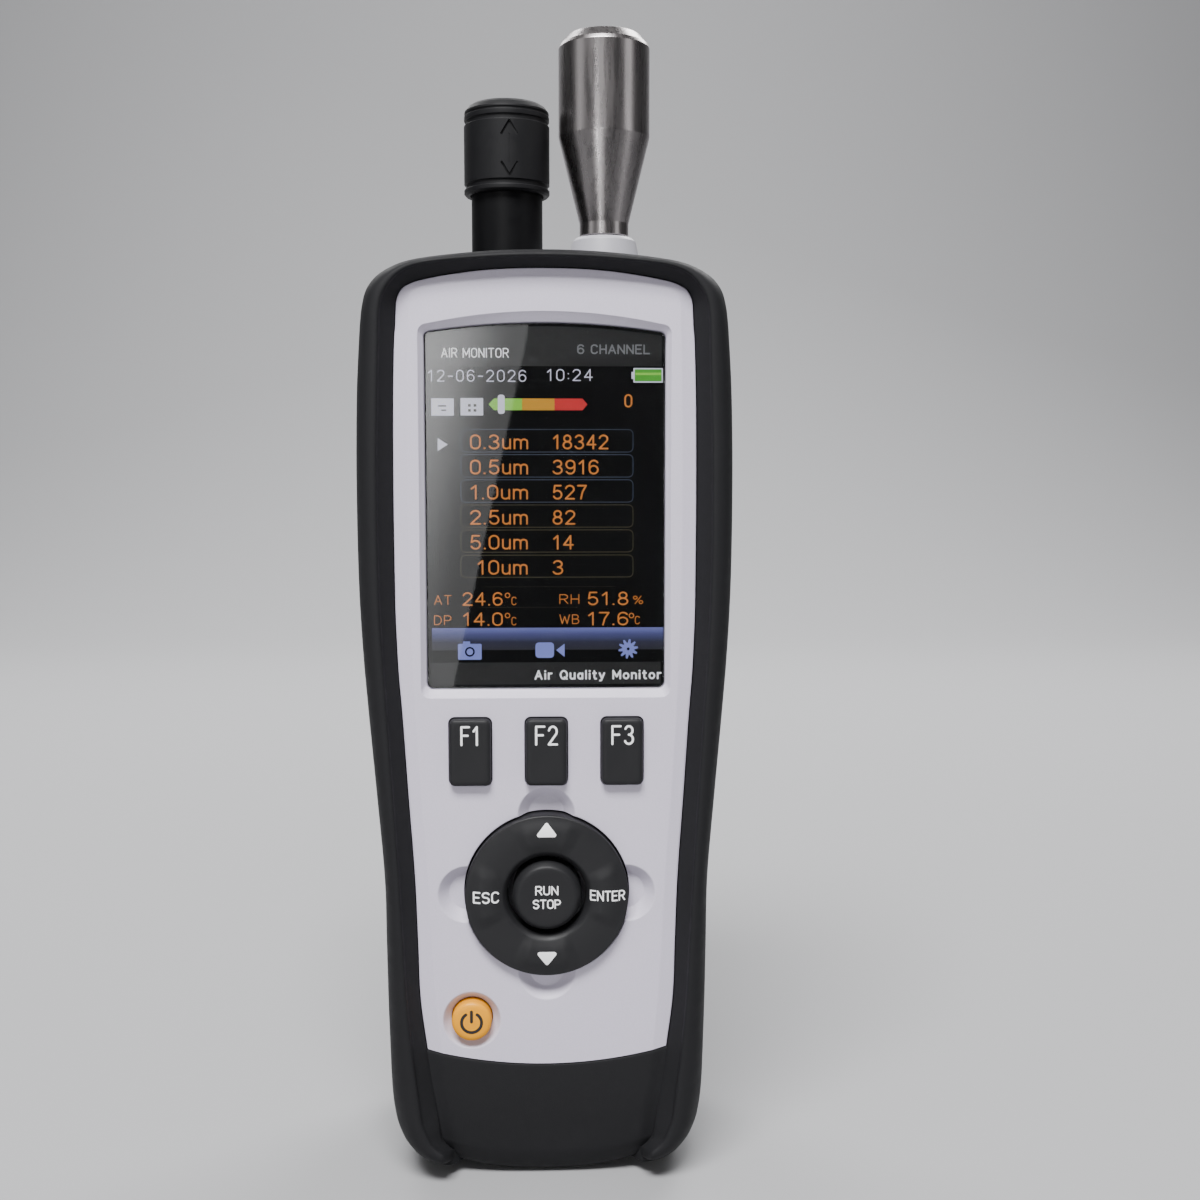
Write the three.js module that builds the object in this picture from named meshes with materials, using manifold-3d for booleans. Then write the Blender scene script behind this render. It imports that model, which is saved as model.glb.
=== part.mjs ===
// Handheld air quality monitor (particle counter form), built as separate pieces.
// Millimetres, +Z up, front faces -Y, X to the right seen from the front, standing on z = 0.
import * as THREE from 'three';
import { mergeVertices } from 'three/addons/utils/BufferGeometryUtils.js';
import Module from 'manifold-3d';
const wasm = await Module();
wasm.setup();

// ---------------------------------------------------------------- driving dimensions
const Y_CROWN = -28.5;      // front of the rubber bumper
const Y_PANEL = -25.2;      // front of the grey panel
const Y_SHOULDER = -23.7;   // step of the front cover under the bumper flange
const Y_FRONT_IN = -22.2;   // inside face of the front wall
const Y_SPLIT = -8.5;       // parting plane, front cover and bumper side
const Y_GRIP = 23.5;        // back of the grip
const Y_BACK = 28.5;        // back of the head
const Z_RAMP = [121, 133];  // back steps out from grip to head
const BUMPER_T = 2.7;       // rubber thickness on the sides
const GAP = 0.3;            // clearance between touching pieces
const WALL = 2.2;
const KEY = { w: 8.45, h: 13.7, r: 1.1, pitch: 15.35, z: 90.2, front: -27.0 };
const PAD = { z: 60.65, r: 16.65, hole: 17.0, inner: 8.75, button: 7.05, plateau: 5.93 };
const POWER = { x: -15.5, z: 34.2, r: 4.1, scoop: 5.9 };
const STEM = { x: -8.0, y: 2, r: 7.56, guard: 9.1, zg0: 205, zg1: 224 };
const PROBE = { x: 12.75, y: 2, r: 9.7, neck: 5.24, z0: 196.6, z1: 238.75 };
const STAND = { half: 16.5, z0: 79, pinZ: 117, pinY: 21.2 };
const TRIPOD = { z: 141, r: 6.5, bore: 3.2 };
const CAMERA = { z: 166, r: 8.0 };
const DOOR = { half: 20.2, z0: 8.3, z1: 70.7 };
const FLAP = { y0: -2, y1: 14, z0: 98, z1: 138 };
const SCREWS = [[28.3, 178.0], [-28.3, 178.0], [25, 80], [-25, 80]];

// ---------------------------------------------------------------- outlines, right half, bottom to top
const OUT_A = [[0, 0], [10, 0], [20, 0], [24.5, 0.7], [27.6, 2.4], [29.9, 5.2], [31.3, 8.8], [32.0, 14.7], [32.4, 26],
  [32.7, 37.3], [32.9, 50], [33.1, 63.2], [34.4, 80], [35.9, 97.6], [36.75, 108.5], [37.35, 119.5], [37.5, 124], [37.6, 128.5], [37.66, 133], [37.7, 141.4],
  [37.62, 152], [37.33, 163.4], [36.9, 171], [36.5, 176.5], [36.1, 179.4], [35.2, 182.5], [33.2, 185.05], [30.12, 186.9],
  [26.56, 188.1], [13.17, 189.8], [0, 190.3]];
const OUT_B = [[0, -3], [12, -3], [22, -3], [22.3, 2], [23.2, 7], [24.65, 10.95], [25.6, 13.55], [26.05, 17], [27.35, 28], [28.37, 39.1],
  [29.0, 52], [29.64, 64.7], [30.6, 81], [31.65, 98.5], [32.3, 109], [32.8, 120], [32.9, 124], [33.0, 128.5], [33.03, 133], [33.05, 141.5], [32.95, 152], [32.63, 163],
  [32.4, 171], [32.28, 175.7], [32.1, 178], [31.68, 180.2], [30.83, 182.1], [28.81, 184.6], [25.66, 186.35], [12.83, 187.9], [0, 188.37]];
const OUT_C = [[0, -3], [12, -3], [21, -3], [21.3, 2], [21.7, 6], [22.0, 8.7], [22.6, 13.65], [23.1, 16.3], [24.8, 28], [26.15, 38.9],
  [26.5, 50], [27.0, 64.3], [28.1, 81], [29.2, 98.4], [29.8, 106.2], [30.3, 119.2], [30.34, 124], [30.37, 128.5], [30.39, 133], [30.41, 140.1], [30.35, 152], [30.24, 160.8],
  [29.85, 173.2], [29.68, 174.9], [29.56, 177.4], [29.3, 180.5], [28.22, 182.6], [26.8, 183.5], [24.55, 184.3], [13.12, 186.2], [0, 186.8]];

// symmetric ring of 2m points: bottom centre, up the right side, top centre, down the left side
const ringOf = (half) => mirror(half);
function mirror(pts) {
  const m = pts.length - 1, out = pts.map(p => p.slice());
  for (let i = m - 1; i > 0; i--) out.push([-pts[i][0], pts[i][1]]);
  return out;
}
function inset(ring, d) {
  const n = ring.length;
  return ring.map((p, i) => {
    const a = ring[(i + n - 1) % n], b = ring[(i + 1) % n];
    const tx = b[0] - a[0], tz = b[1] - a[1], l = Math.hypot(tx, tz);
    return [p[0] - tz / l * d, p[1] + tx / l * d];
  });
}
const MIDZ = 95, shrink = (ring, d) => ring.map(p => [p[0] * (1 - d / 37.7), MIDZ + (p[1] - MIDZ) * (1 - d / 95.15)]);
const at = (ring, y) => ring.map(p => [p[0], typeof y === 'function' ? y(p[1]) : y, p[1]]);
const flatBase = (ring) => ring.map(p => [p[0], Math.max(0, p[1])]);

// closed skin through rings that share their point count; ends closed rung by rung
function loft(rings) {
  const n = rings[0].length, m = n / 2, pos = [], idx = [];
  rings.forEach(r => r.forEach(p => pos.push(p[0], p[1], p[2])));
  for (let k = 0; k + 1 < rings.length; k++) for (let i = 0; i < n; i++) {
    const j = (i + 1) % n, a = k * n + i, b = k * n + j, c = (k + 1) * n + j, d = (k + 1) * n + i;
    idx.push(a, b, c, a, c, d);
  }
  const cap = (o, flip) => {
    const t = (a, b, c) => flip ? idx.push(o + a, o + c, o + b) : idx.push(o + a, o + b, o + c);
    t(0, n - 1, 1);
    for (let i = 1; i < m - 1; i++) { t(i, n - i, n - i - 1); t(i, n - i - 1, i + 1); }
    t(m - 1, m + 1, m);
  };
  cap(0, false); cap((rings.length - 1) * n, true);
  const g = new THREE.BufferGeometry();
  g.setAttribute('position', new THREE.Float32BufferAttribute(pos, 3));
  g.setIndex(idx);
  return outward(g);
}
function outward(g) {
  const p = g.attributes.position, ix = g.index.array; let v = 0;
  const a = new THREE.Vector3(), b = new THREE.Vector3(), c = new THREE.Vector3();
  for (let i = 0; i < ix.length; i += 3) {
    a.fromBufferAttribute(p, ix[i]); b.fromBufferAttribute(p, ix[i + 1]); c.fromBufferAttribute(p, ix[i + 2]);
    v += a.dot(b.cross(c));
  }
  if (v < 0) for (let i = 0; i < ix.length; i += 3) { const t = ix[i]; ix[i] = ix[i + 1]; ix[i + 1] = t; }
  return g;
}

// ---------------------------------------------------------------- solids
function solid(g) {
  let q = g.clone();
  for (const k of Object.keys(q.attributes)) if (k !== 'position') q.deleteAttribute(k);
  q = mergeVertices(q, 1e-4);
  return new wasm.Manifold(new wasm.Mesh({ numProp: 3, vertProperties: new Float32Array(q.attributes.position.array), triVerts: new Uint32Array(q.index.array) }));
}
function toGeometry(s) {
  const m = s.getMesh(), g = new THREE.BufferGeometry();
  g.setAttribute('position', new THREE.BufferAttribute(new Float32Array(m.vertProperties), 3));
  g.setIndex(new THREE.BufferAttribute(new Uint32Array(m.triVerts), 1));
  return g;
}
const boxGeo = (x0, x1, y0, y1, z0, z1) => new THREE.BoxGeometry(x1 - x0, y1 - y0, z1 - z0).translate((x0 + x1) / 2, (y0 + y1) / 2, (z0 + z1) / 2);
const box = (...a) => solid(boxGeo(...a));
const latheGeo = (prof, seg) => outward(mergeVertices(stripped(new THREE.LatheGeometry(prof.map(p => new THREE.Vector2(p[0], p[1])), seg)), 1e-4));
function stripped(g) { for (const k of Object.keys(g.attributes)) if (k !== 'position') g.deleteAttribute(k); return g; }
const cyl = (r, h0, h1, seg, dir, a, b) => {
  const g = new THREE.CylinderGeometry(r, r, h1 - h0, seg).translate(0, (h0 + h1) / 2, 0);
  return solid(place(g, dir, a, b));
};
// turned shape about an axis: 'y' (a = x, b = z), 'z' (a = x, b = y), 'x' (a = y, b = z)
function place(g, dir, a, b) {
  if (dir === 'y') return g.translate(a, 0, b);
  if (dir === 'z') return g.rotateX(Math.PI / 2).translate(a, b, 0);
  return g.rotateZ(-Math.PI / 2).translate(0, a, b);
}
const lathe = (prof, seg, dir, a, b) => solid(place(latheGeo(prof, seg), dir, a, b));
// prism of an x-z outline between two depths
function prism(pts, y0, y1) {
  const s = new THREE.Shape(pts.map(p => new THREE.Vector2(p[0], p[1])));
  const g = new THREE.ExtrudeGeometry(s, { depth: y1 - y0, bevelEnabled: false, steps: 1 });
  return solid(g.rotateX(Math.PI / 2).translate(0, y1, 0));
}
function roundRect(cx, cz, w, h, r, k = 4) {
  const pts = [];
  [[1, 1, 0], [-1, 1, 90], [-1, -1, 180], [1, -1, 270]].forEach(([sx, sz, a0]) => {
    for (let i = 0; i <= k; i++) {
      const a = (a0 + 90 * i / k) * Math.PI / 180;
      pts.push([cx + sx * (w / 2 - r) + r * Math.cos(a), cz + sz * (h / 2 - r) + r * Math.sin(a)]);
    }
  });
  return pts;
}
// lens cutter or mound: spherical cap of base radius r and height h, facing along Y
function lens(x, z, r, h, yBase, towards) {
  const R = (r * r + h * h) / (2 * h);
  const k = 3, a1 = Math.asin(r / R);
  const up = [];
  for (let i = 0; i <= k; i++) { const a = a1 * (1 - i / k); up.push([R * Math.sin(a), R * Math.cos(a) - (R - h)]); }
  up[up.length - 1][0] = 0;
  const g = latheGeo([[0, -0.6], [r, -0.6], ...up], 20);
  if (towards < 0) g.rotateX(Math.PI);
  return solid(g.translate(x, yBase, z));
}

// ---------------------------------------------------------------- master surfaces
const ringA = flatBase(ringOf(OUT_A));
const yBack = (z) => { const t = Math.min(1, Math.max(0, (z - Z_RAMP[0]) / (Z_RAMP[1] - Z_RAMP[0]))); return Y_GRIP + (Y_BACK - Y_GRIP) * t * t * (3 - 2 * t); };
const R_BACK = 9;

function rearBody(d0, yFront, backInset) {
  const base = d0 > 0 ? inset(ringA, d0) : ringA;
  const rings = [at(base, yFront)];
  rings.push(at(base, z => yBack(z) - backInset - R_BACK - 3));
  for (let i = 0; i <= 4; i++) {
    const a = i / 4 * Math.PI / 2, s = R_BACK * (1 - Math.cos(a));
    const ring = shrink(base, 0.5 + s * 0.8);
    rings.push(at(ring, z => yBack(z) - backInset - R_BACK * (1 - Math.sin(a))));
  }
  return solid(loft(rings));
}
const rearOuter = rearBody(0, Y_SPLIT + GAP, 0);
const rearCavity = rearBody(WALL, Y_SPLIT - 1, 2.4);

const frontSteps = [[Y_SPLIT, 0], [-20, 0], [-24.5, 0.25], [-26.3, 0.8], [-27.6, 1.7], [-28.3, 2.7], [Y_CROWN, 3.6]];
const bumperOuter = solid(loft(frontSteps.map(([y, d]) => at(d ? inset(ringA, d) : ringA, y))));

const ringB = ringOf(OUT_B), ringC = ringOf(OUT_C);
const recess = solid(loft([at(shrinkTo(ringB, ringC, -0.15), Y_CROWN - 0.6), at(ringC, Y_PANEL)]));
function shrinkTo(a, b, t) { return a.map((p, i) => [p[0] + (b[i][0] - p[0]) * t, p[1] + (b[i][1] - p[1]) * t]); }

// grey panel field: sides follow outline C, lower edge is a shallow arc above the chin
function panelField(d) {
  const pts = [], arc = 14, xe = 24.6 - d;
  for (let i = 0; i <= arc; i++) { const x = -xe + 2 * xe * i / arc; pts.push([x, 24.7 + d + 3.3 * (x / 24.8) ** 2]); }
  const c = inset(ringC, d);
  for (let i = 1; i < ringC.length; i++) if (c[i][1] > 29.2) pts.push(c[i]);
  return pts;
}

// window opening outlines: slightly arched top, small corners
const windowOutline = (hw, top, rise, bottom, r) => {
  const pts = [], k = 4;
  const corner = (cx, cz, a0) => { for (let i = 0; i <= k; i++) { const a = (a0 + 90 * i / k) * Math.PI / 180; pts.push([cx + r * Math.cos(a), cz + r * Math.sin(a)]); } };
  corner(-hw + r, bottom + r, 180); corner(hw - r, bottom + r, 270); corner(hw - r, top - r, 0);
  for (let i = 1; i < 8; i++) { const x = (hw - r) * (1 - i / 4); pts.push([x, top + rise * (1 - (x / (hw - r)) ** 2)]); }
  corner(-hw + r, top - r, 90);
  return pts;
};
const winOuter = windowOutline(25.1, 175.6, 2.5, 101.2, 1.8);
const winGlass = windowOutline(23.9, 174.3, 1.7, 103.0, 1.2);
const winSeat = windowOutline(24.2, 174.6, 1.7, 102.7, 1.3);
function bevelCut() {
  // sloping walls from the panel face down to the glass
  const n = winOuter.length, pos = [], idx = [];
  winOuter.forEach(p => pos.push(p[0] + Math.sign(p[0]) * 0.1, Y_PANEL - 0.1, p[1] + (p[1] > 140 ? 0.1 : -0.1)));
  winSeat.forEach(p => pos.push(p[0], -24.1, p[1]));
  for (let i = 0; i < n; i++) { const j = (i + 1) % n; idx.push(i, j, n + j, i, n + j, n + i); }
  const f = THREE.ShapeUtils.triangulateShape(winOuter.map(p => new THREE.Vector2(...p)), []);
  f.forEach(t => idx.push(t[0], t[2], t[1]));
  const f2 = THREE.ShapeUtils.triangulateShape(winSeat.map(p => new THREE.Vector2(...p)), []);
  f2.forEach(t => idx.push(n + t[0], n + t[1], n + t[2]));
  const g = new THREE.BufferGeometry();
  g.setAttribute('position', new THREE.Float32BufferAttribute(pos, 3)); g.setIndex(idx);
  return solid(outward(g));
}

// ---------------------------------------------------------------- case pieces
const group = new THREE.Group();
const FIN = {
  panel: [0xc3c0c7, 0.55, 0], rubber: [0x2d2d2f, 0.75, 0], shell: [0x333336, 0.6, 0], key: [0x343436, 0.6, 0], pad: [0x373739, 0.6, 0],
  orange: [0xe2a328, 0.5, 0], glass: [0x0a0a0c, 0.08, 0], lcd: [0x15161a, 0.4, 0.1], foam: [0x222222, 0.9, 0], mat: [0x8a8a90, 0.8, 0],
  board: [0x1f5a3a, 0.5, 0], steel: [0xa9a6a8, 0.3, 1], collar: [0xb8b7bf, 0.5, 0], black: [0x1e1e20, 0.6, 0], silicone: [0xd8d6cf, 0.5, 0],
  brass: [0xb08d4a, 0.35, 1], alu: [0x9a9ca0, 0.4, 0.9], battery: [0x2b4f8c, 0.5, 0], white: [0xe6e6e2, 0.6, 0], gold: [0xc9a24a, 0.4, 0.8],
};
function add(name, s, fin) {
  const [c, r, m] = FIN[fin];
  const g = s instanceof THREE.BufferGeometry ? s : toGeometry(s);
  const mesh = new THREE.Mesh(g, new THREE.MeshStandardMaterial({ color: c, roughness: r, metalness: m }));
  mesh.name = name; group.add(mesh); return mesh;
}

// front cover: recessed grey field on a skirt that the rubber wraps
{
  const o3 = inset(ringA, BUMPER_T + GAP), o5 = inset(ringA, BUMPER_T + GAP + 2.0);
  let s = solid(loft([at(o3, Y_SPLIT), at(o3, Y_SHOULDER)])).add(prism(panelField(GAP), Y_PANEL, Y_SHOULDER + 0.5));
  s = s.subtract(solid(loft([at(o5, Y_SPLIT + 1), at(o5, Y_FRONT_IN)])));
  s = s.add(box(-26.4, 26.4, Y_FRONT_IN - 0.3, -21.2, 100.6, 177));
  for (const [x, z] of SCREWS) s = s.add(cyl(3.0, Y_FRONT_IN - 0.5, Y_SPLIT, 14, 'y', x, z));
  s = s.subtract(bevelCut()).subtract(prism(winSeat, -24.3, -22.9)).subtract(box(-22.2, 22.2, -23.5, -20, 105.6, 172.6));
  for (const k of [-1, 0, 1]) s = s.subtract(prism(roundRect(k * KEY.pitch, KEY.z, KEY.w + 0.6, KEY.h + 0.6, KEY.r + 0.3), -27, -20));
  for (const [dx, dz] of [[1, 0], [-1, 0], [0, 1], [0, -1]]) s = s.subtract(lens(dx * 16.3, PAD.z + dz * 16.3, 5.75, 1.3, Y_PANEL, 1));
  s = s.subtract(cyl(PAD.hole + 0.05, -30, -20, 40, 'y', 0, PAD.z));
  s = s.subtract(lens(POWER.x, POWER.z, POWER.scoop, 1.35, Y_PANEL, 1)).subtract(cyl(POWER.r + 0.3, -30, -20, 28, 'y', POWER.x, POWER.z));
  for (const [x, z] of SCREWS) s = s.subtract(cyl(1.6, -17.5, Y_SPLIT + 1, 10, 'y', x, z));
  add('front_cover', s, 'panel');
}
// rubber bumper: front band, side skirt and chin in one moulding
{
  const inner = inset(ringA, BUMPER_T);
  let s = bumperOuter.subtract(solid(loft([at(inner, Y_SPLIT + 1), at(inner, Y_SHOULDER - GAP)])));
  s = s.subtract(recess).subtract(prism(panelField(0), -29, -20));
  // chin leans back below z = 17 and rounds under at the bottom edge
  const lean = new THREE.Shape([[-40, -6], [-24.6, -6], [-24.6, 0], [-25.2, 17], [-25.2, 17.2], [-40, 17.2]].map(p => new THREE.Vector2(...p)));
  s = s.subtract(solid(new THREE.ExtrudeGeometry(lean, { depth: 42.6, bevelEnabled: false }).applyMatrix4(new THREE.Matrix4().set(0, 0, 1, -21.3, 1, 0, 0, 0, 0, 1, 0, 0, 0, 0, 0, 1))));
  const round = new THREE.Shape(); round.moveTo(-27, -2); round.lineTo(-21, -2); round.lineTo(-21, 0);
  for (let i = 1; i <= 6; i++) { const a = i / 6 * Math.PI / 2; round.lineTo(-21 - 3.7 * Math.sin(a), 3.7 - 3.7 * Math.cos(a)); }
  round.lineTo(-27, 3.7);
  s = s.subtract(solid(new THREE.ExtrudeGeometry(round, { depth: 42.6, bevelEnabled: false }).applyMatrix4(new THREE.Matrix4().set(0, 0, 1, -21.3, 1, 0, 0, 0, 0, 1, 0, 0, 0, 0, 0, 1))));
  add('bumper_overmould', s, 'rubber');
}
// rear cover with pocket, openings, bosses and the port shelf
const doorCut = box(-DOOR.half - GAP, DOOR.half + GAP, 14, 40, DOOR.z0 - GAP, DOOR.z1 + GAP);
const flapWindow = box(-60, -30, FLAP.y0 - GAP, FLAP.y1 + GAP, FLAP.z0 - GAP, FLAP.z1 + GAP);
const sideDepth = (d) => rearBody(d, Y_SPLIT - 1, -3);
{
  let keep = box(-21.5, 21.5, 17, 40, 73.4, 123).add(box(-45, -30, FLAP.y0 - 2.4, FLAP.y1 + 2.4, FLAP.z0 - 2.4, FLAP.z1 + 2.4).subtract(sideDepth(4.4)));
  let s = rearOuter.subtract(rearCavity.subtract(keep));
  const cav = rearBody(WALL * 0.5, Y_SPLIT + GAP, 1.0);
  let bosses = cyl(9.2, 17.5, 27, 20, 'y', 0, TRIPOD.z).add(cyl(10.2, 23.2, 27, 20, 'y', 0, CAMERA.z)).add(box(-5, 5, 17.4, 20.6, 66.2, 74));
  for (const [x, z] of SCREWS) bosses = bosses.add(cyl(3.2, Y_SPLIT + GAP, 20, 12, 'y', x, z)).add(cyl(4.4, 15, 27, 14, 'y', x, z));
  s = s.add(bosses.intersect(cav));
  s = s.subtract(box(-STAND.half - 0.5, STAND.half + 0.5, 19.0, 40, 76.4, 119.6)).subtract(cyl(1.4, -19.4, 19.4, 14, 'x', STAND.pinY, STAND.pinZ));
  s = s.subtract(doorCut.subtract(box(-5, 5, 14, 20.7, 66.2, 76)));
  s = s.subtract(cyl(TRIPOD.r + GAP, 16, 40, 24, 'y', 0, TRIPOD.z)).subtract(cyl(CAMERA.r + GAP, 16, 40, 28, 'y', 0, CAMERA.z));
  for (const [x, z] of SCREWS) s = s.subtract(cyl(1.7, -20, 30, 10, 'y', x, z)).subtract(cyl(3.1, 17.3, 40, 16, 'y', x, z));
  s = s.subtract(cyl(1.6, 10, 25, 16, 'y', 0, 68));
  s = s.subtract(cyl(STEM.r + GAP, 180, 200, 28, 'z', STEM.x, STEM.y)).subtract(cyl(7.4 + GAP, 180, 200, 28, 'z', PROBE.x, PROBE.y));
  s = s.subtract(flapWindow.subtract(sideDepth(2.3)));
  // port cut-outs in the shelf: barrel jack, card slot, USB
  s = s.subtract(cyl(3.4, -40, -25, 20, 'x', 6, 104.5)).subtract(box(-40, -25, 0.2, 11.8, 115.2, 118)).subtract(box(-40, -25, 1.9, 10.1, 126.3, 130));
  // exhaust slots on the other side
  for (let i = 0; i < 5; i++) s = s.subtract(box(30, 45, -2, 10, 108 + i * 3.2, 109.4 + i * 3.2));
  add('rear_cover', s, 'shell');
}
// battery door, flush with the back
{
  let s = rearOuter.intersect(box(-DOOR.half, DOOR.half, 21.0, 40, DOOR.z0, DOOR.z1));
  s = s.subtract(cyl(1.6, 10, 30, 16, 'y', 0, 68)).subtract(cyl(2.9, 22.3, 30, 20, 'y', 0, 68));
  for (let i = 0; i < 4; i++) s = s.subtract(box(-8, 8, 23.0, 30, 16 + i * 3, 17.2 + i * 3));
  add('battery_door', s, 'shell');
}
function screw(name, x, z, yHead, len, rHead, hHead, rShank) {
  let s = lathe([[0, yHead - hHead - len], [rShank, yHead - hHead - len], [rShank, yHead - hHead], [rHead, yHead - hHead], [rHead, yHead - 0.4], [rHead - 0.4, yHead], [0, yHead]], 12, 'y', x, z);
  s = s.subtract(box(x - rHead * 0.6, x + rHead * 0.6, yHead - 0.7, yHead + 1, z - 0.3, z + 0.3)).subtract(box(x - 0.3, x + 0.3, yHead - 0.7, yHead + 1, z - rHead * 0.6, z + rHead * 0.6));
  add(name, s, 'steel');
}
screw('battery_door_screw', 0, 68, 23.3, 3.6, 2.5, 0.8, 1.2);
SCREWS.forEach(([x, z], i) => screw(`case_screw_${i + 1}`, x, z, 19.2, 26, 2.6, 1.7, 1.2));

// fold-out stand, its hinge pin
{
  let s = box(-STAND.half, STAND.half, 19.5, 23.1, STAND.z0, STAND.pinZ).add(cyl(1.85, -STAND.half, STAND.half, 20, 'x', STAND.pinY, STAND.pinZ));
  s = s.subtract(box(-11.5, 11.5, 18, 25, 90, 109)).subtract(cyl(1.35, -20, 20, 14, 'x', STAND.pinY, STAND.pinZ)).subtract(box(-5, 5, 21.6, 25, 78, 81.5));
  add('kickstand', s, 'shell');
  add('stand_hinge_pin', cyl(1.1, -19.2, 19.2, 14, 'x', STAND.pinY, STAND.pinZ), 'steel');
}
add('tripod_insert', lathe([[0, 19.2], [TRIPOD.r, 19.2], [TRIPOD.r, 28.4], [TRIPOD.bore + 0.35, 28.4], [TRIPOD.bore, 28.05], [TRIPOD.bore, 20.6], [0, 20.6]], 24, 'y', 0, TRIPOD.z), 'brass');
add('camera_bezel', lathe([[5.6, 24.6], [8.0, 24.6], [8.0, 28.1], [7.6, 28.4], [5.9, 28.4], [5.3, 27.2], [5.3, 26.0], [3.4, 26.0], [3.4, 24.6], [5.6, 24.6]], 24, 'y', 0, CAMERA.z), 'black');
add('camera_lens', cyl(5.0, 26.3, 27.1, 28, 'y', 0, CAMERA.z), 'glass');
add('camera_module', box(-4.5, 4.5, 17.8, 24.2, 161.5, 170.5).add(cyl(3.0, 24, 25.7, 20, 'y', 0, CAMERA.z)), 'black');

// port flap and what it covers
{
  let s = rearOuter.subtract(rearBody(2.0, Y_SPLIT - 1, -3)).intersect(box(-60, -30, FLAP.y0, FLAP.y1, FLAP.z0, FLAP.z1));
  add('port_flap', s, 'rubber');
  const hollow = (s, c) => s.subtract(c);
  add('dc_jack', hollow(box(-31.2, -24.9, 1.2, 10.8, 99.8, 109.2), cyl(2.8, -40, -26.4, 18, 'x', 6, 104.5)).add(cyl(0.95, -30.9, -26, 12, 'x', 6, 104.5)), 'black');
  add('card_socket', hollow(box(-31.2, -24.9, -0.6, 12.6, 115.0, 118.2), box(-40, -26, 0.4, 11.6, 116.1, 117.1)), 'steel');
  add('usb_port', hollow(box(-31.2, -24.9, 2.1, 9.9, 126.4, 129.9), box(-40, -26, 2.6, 9.4, 126.9, 129.4)).add(box(-30.9, -25.6, 3.6, 8.4, 127.8, 128.5)), 'steel');
  add('port_board', box(-24.7, -23.1, -2.5, 14.5, 98, 133), 'board');
}

// ---------------------------------------------------------------- display
add('display_window', prism(winGlass, -24.2, -23.1), 'glass');
add('display_gasket', box(-25.4, 25.4, -21.0, -20.2, 103.2, 174.9).subtract(box(-22.4, 22.4, -25, -18, 105.4, 172.8)), 'foam');
add('display_module', box(-25.2, 25.2, -20.0, -17.3, 103.4, 174.7), 'lcd');

// ---------------------------------------------------------------- keys
function pill(cx, cz, w, h, r, yFront, yBack, crown) {
  const o = roundRect(cx, cz, w, h, r), lay = [[yBack, 0], [yFront + 1.1, 0], [yFront + 0.45, 0.12], [yFront + 0.12, 0.5], [yFront, 1.1]];
  const rings = lay.map(([y, d]) => roundRect(cx, cz, w - 2 * d, h - 2 * d, Math.max(0.35, r - d * 0.6)).map(p => [p[0], y, p[1]]));
  const n = o.length, pos = [], idx = [];
  rings.forEach(q => q.forEach(p => pos.push(...p)));
  for (let k = 0; k + 1 < rings.length; k++) for (let i = 0; i < n; i++) { const j = (i + 1) % n; idx.push(k * n + i, k * n + j, (k + 1) * n + j, k * n + i, (k + 1) * n + j, (k + 1) * n + i); }
  for (let i = 1; i + 1 < n; i++) { idx.push(0, i + 1, i); const b = (rings.length - 1) * n; idx.push(b, b + i, b + i + 1); }
  const g = new THREE.BufferGeometry(); g.setAttribute('position', new THREE.Float32BufferAttribute(pos, 3)); g.setIndex(idx);
  return solid(outward(g));
}
['key_f1', 'key_f2', 'key_f3'].forEach((name, i) => {
  const x = (i - 1) * KEY.pitch;
  add(name, pill(x, KEY.z, KEY.w, KEY.h, KEY.r, KEY.front, -21.4, 0.3).add(prism(roundRect(x, KEY.z, KEY.w + 1.6, KEY.h + 1.6, 1.6, 3), -21.8, -20.8)), 'key');
});
{
  const ring = [[8.75, -22.5], [8.75, -26.3], [9.3, -27.2], [12.0, -27.7], [15.4, -27.1], [16.65, -25.7], [16.65, -21.0], [17.6, -21.0], [17.6, -20.6], [15.3, -20.6], [15.3, -22.5], [8.75, -22.5]];
  let s = lathe(ring, 40, 'y', 0, PAD.z);
  const clip = cyl(PAD.r, -30, -23, 40, 'y', 0, PAD.z).subtract(cyl(PAD.inner, -31, -22, 40, 'y', 0, PAD.z));
  for (const [dx, dz] of [[1, 0], [-1, 0], [0, 1], [0, -1]]) s = s.add(lens(dx * 16.3, PAD.z + dz * 16.3, 5.75, 1.5, -26.4, -1).intersect(clip));
  add('dpad_ring', s, 'pad');
  add('dpad_rocker_web', lathe([[9.4, -21.4], [13, -21.4], [13, -20.5], [9.4, -20.5], [9.4, -21.4]], 24, 'y', 0, PAD.z), 'mat');
  add('run_stop_button', lathe([[0, -27.9], [PAD.plateau, -27.9], [6.5, -27.7], [PAD.button, -26.9], [PAD.button, -20.4], [0, -20.4]], 32, 'y', 0, PAD.z), 'key');
  add('power_button', lathe([[0, -26.5], [3.2, -26.45], [3.8, -26.2], [POWER.r, -25.7], [POWER.r, -21.8], [5.2, -21.8], [5.2, -20.8], [0, -20.8]], 24, 'y', POWER.x, POWER.z), 'orange');
  add('keypad_mat', box(-21.2, 21.2, -19.4, -18.8, 23, 98.5), 'mat');
  add('key_board', box(-21.4, 21.4, -18.6, -17.0, 22, 99), 'board');
}
add('main_board', box(-26, 26, -14, -12.4, 86, 171.5), 'board');
add('buzzer', cyl(6, -16.8, -12.8, 24, 'y', 13, 42), 'black');

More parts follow.
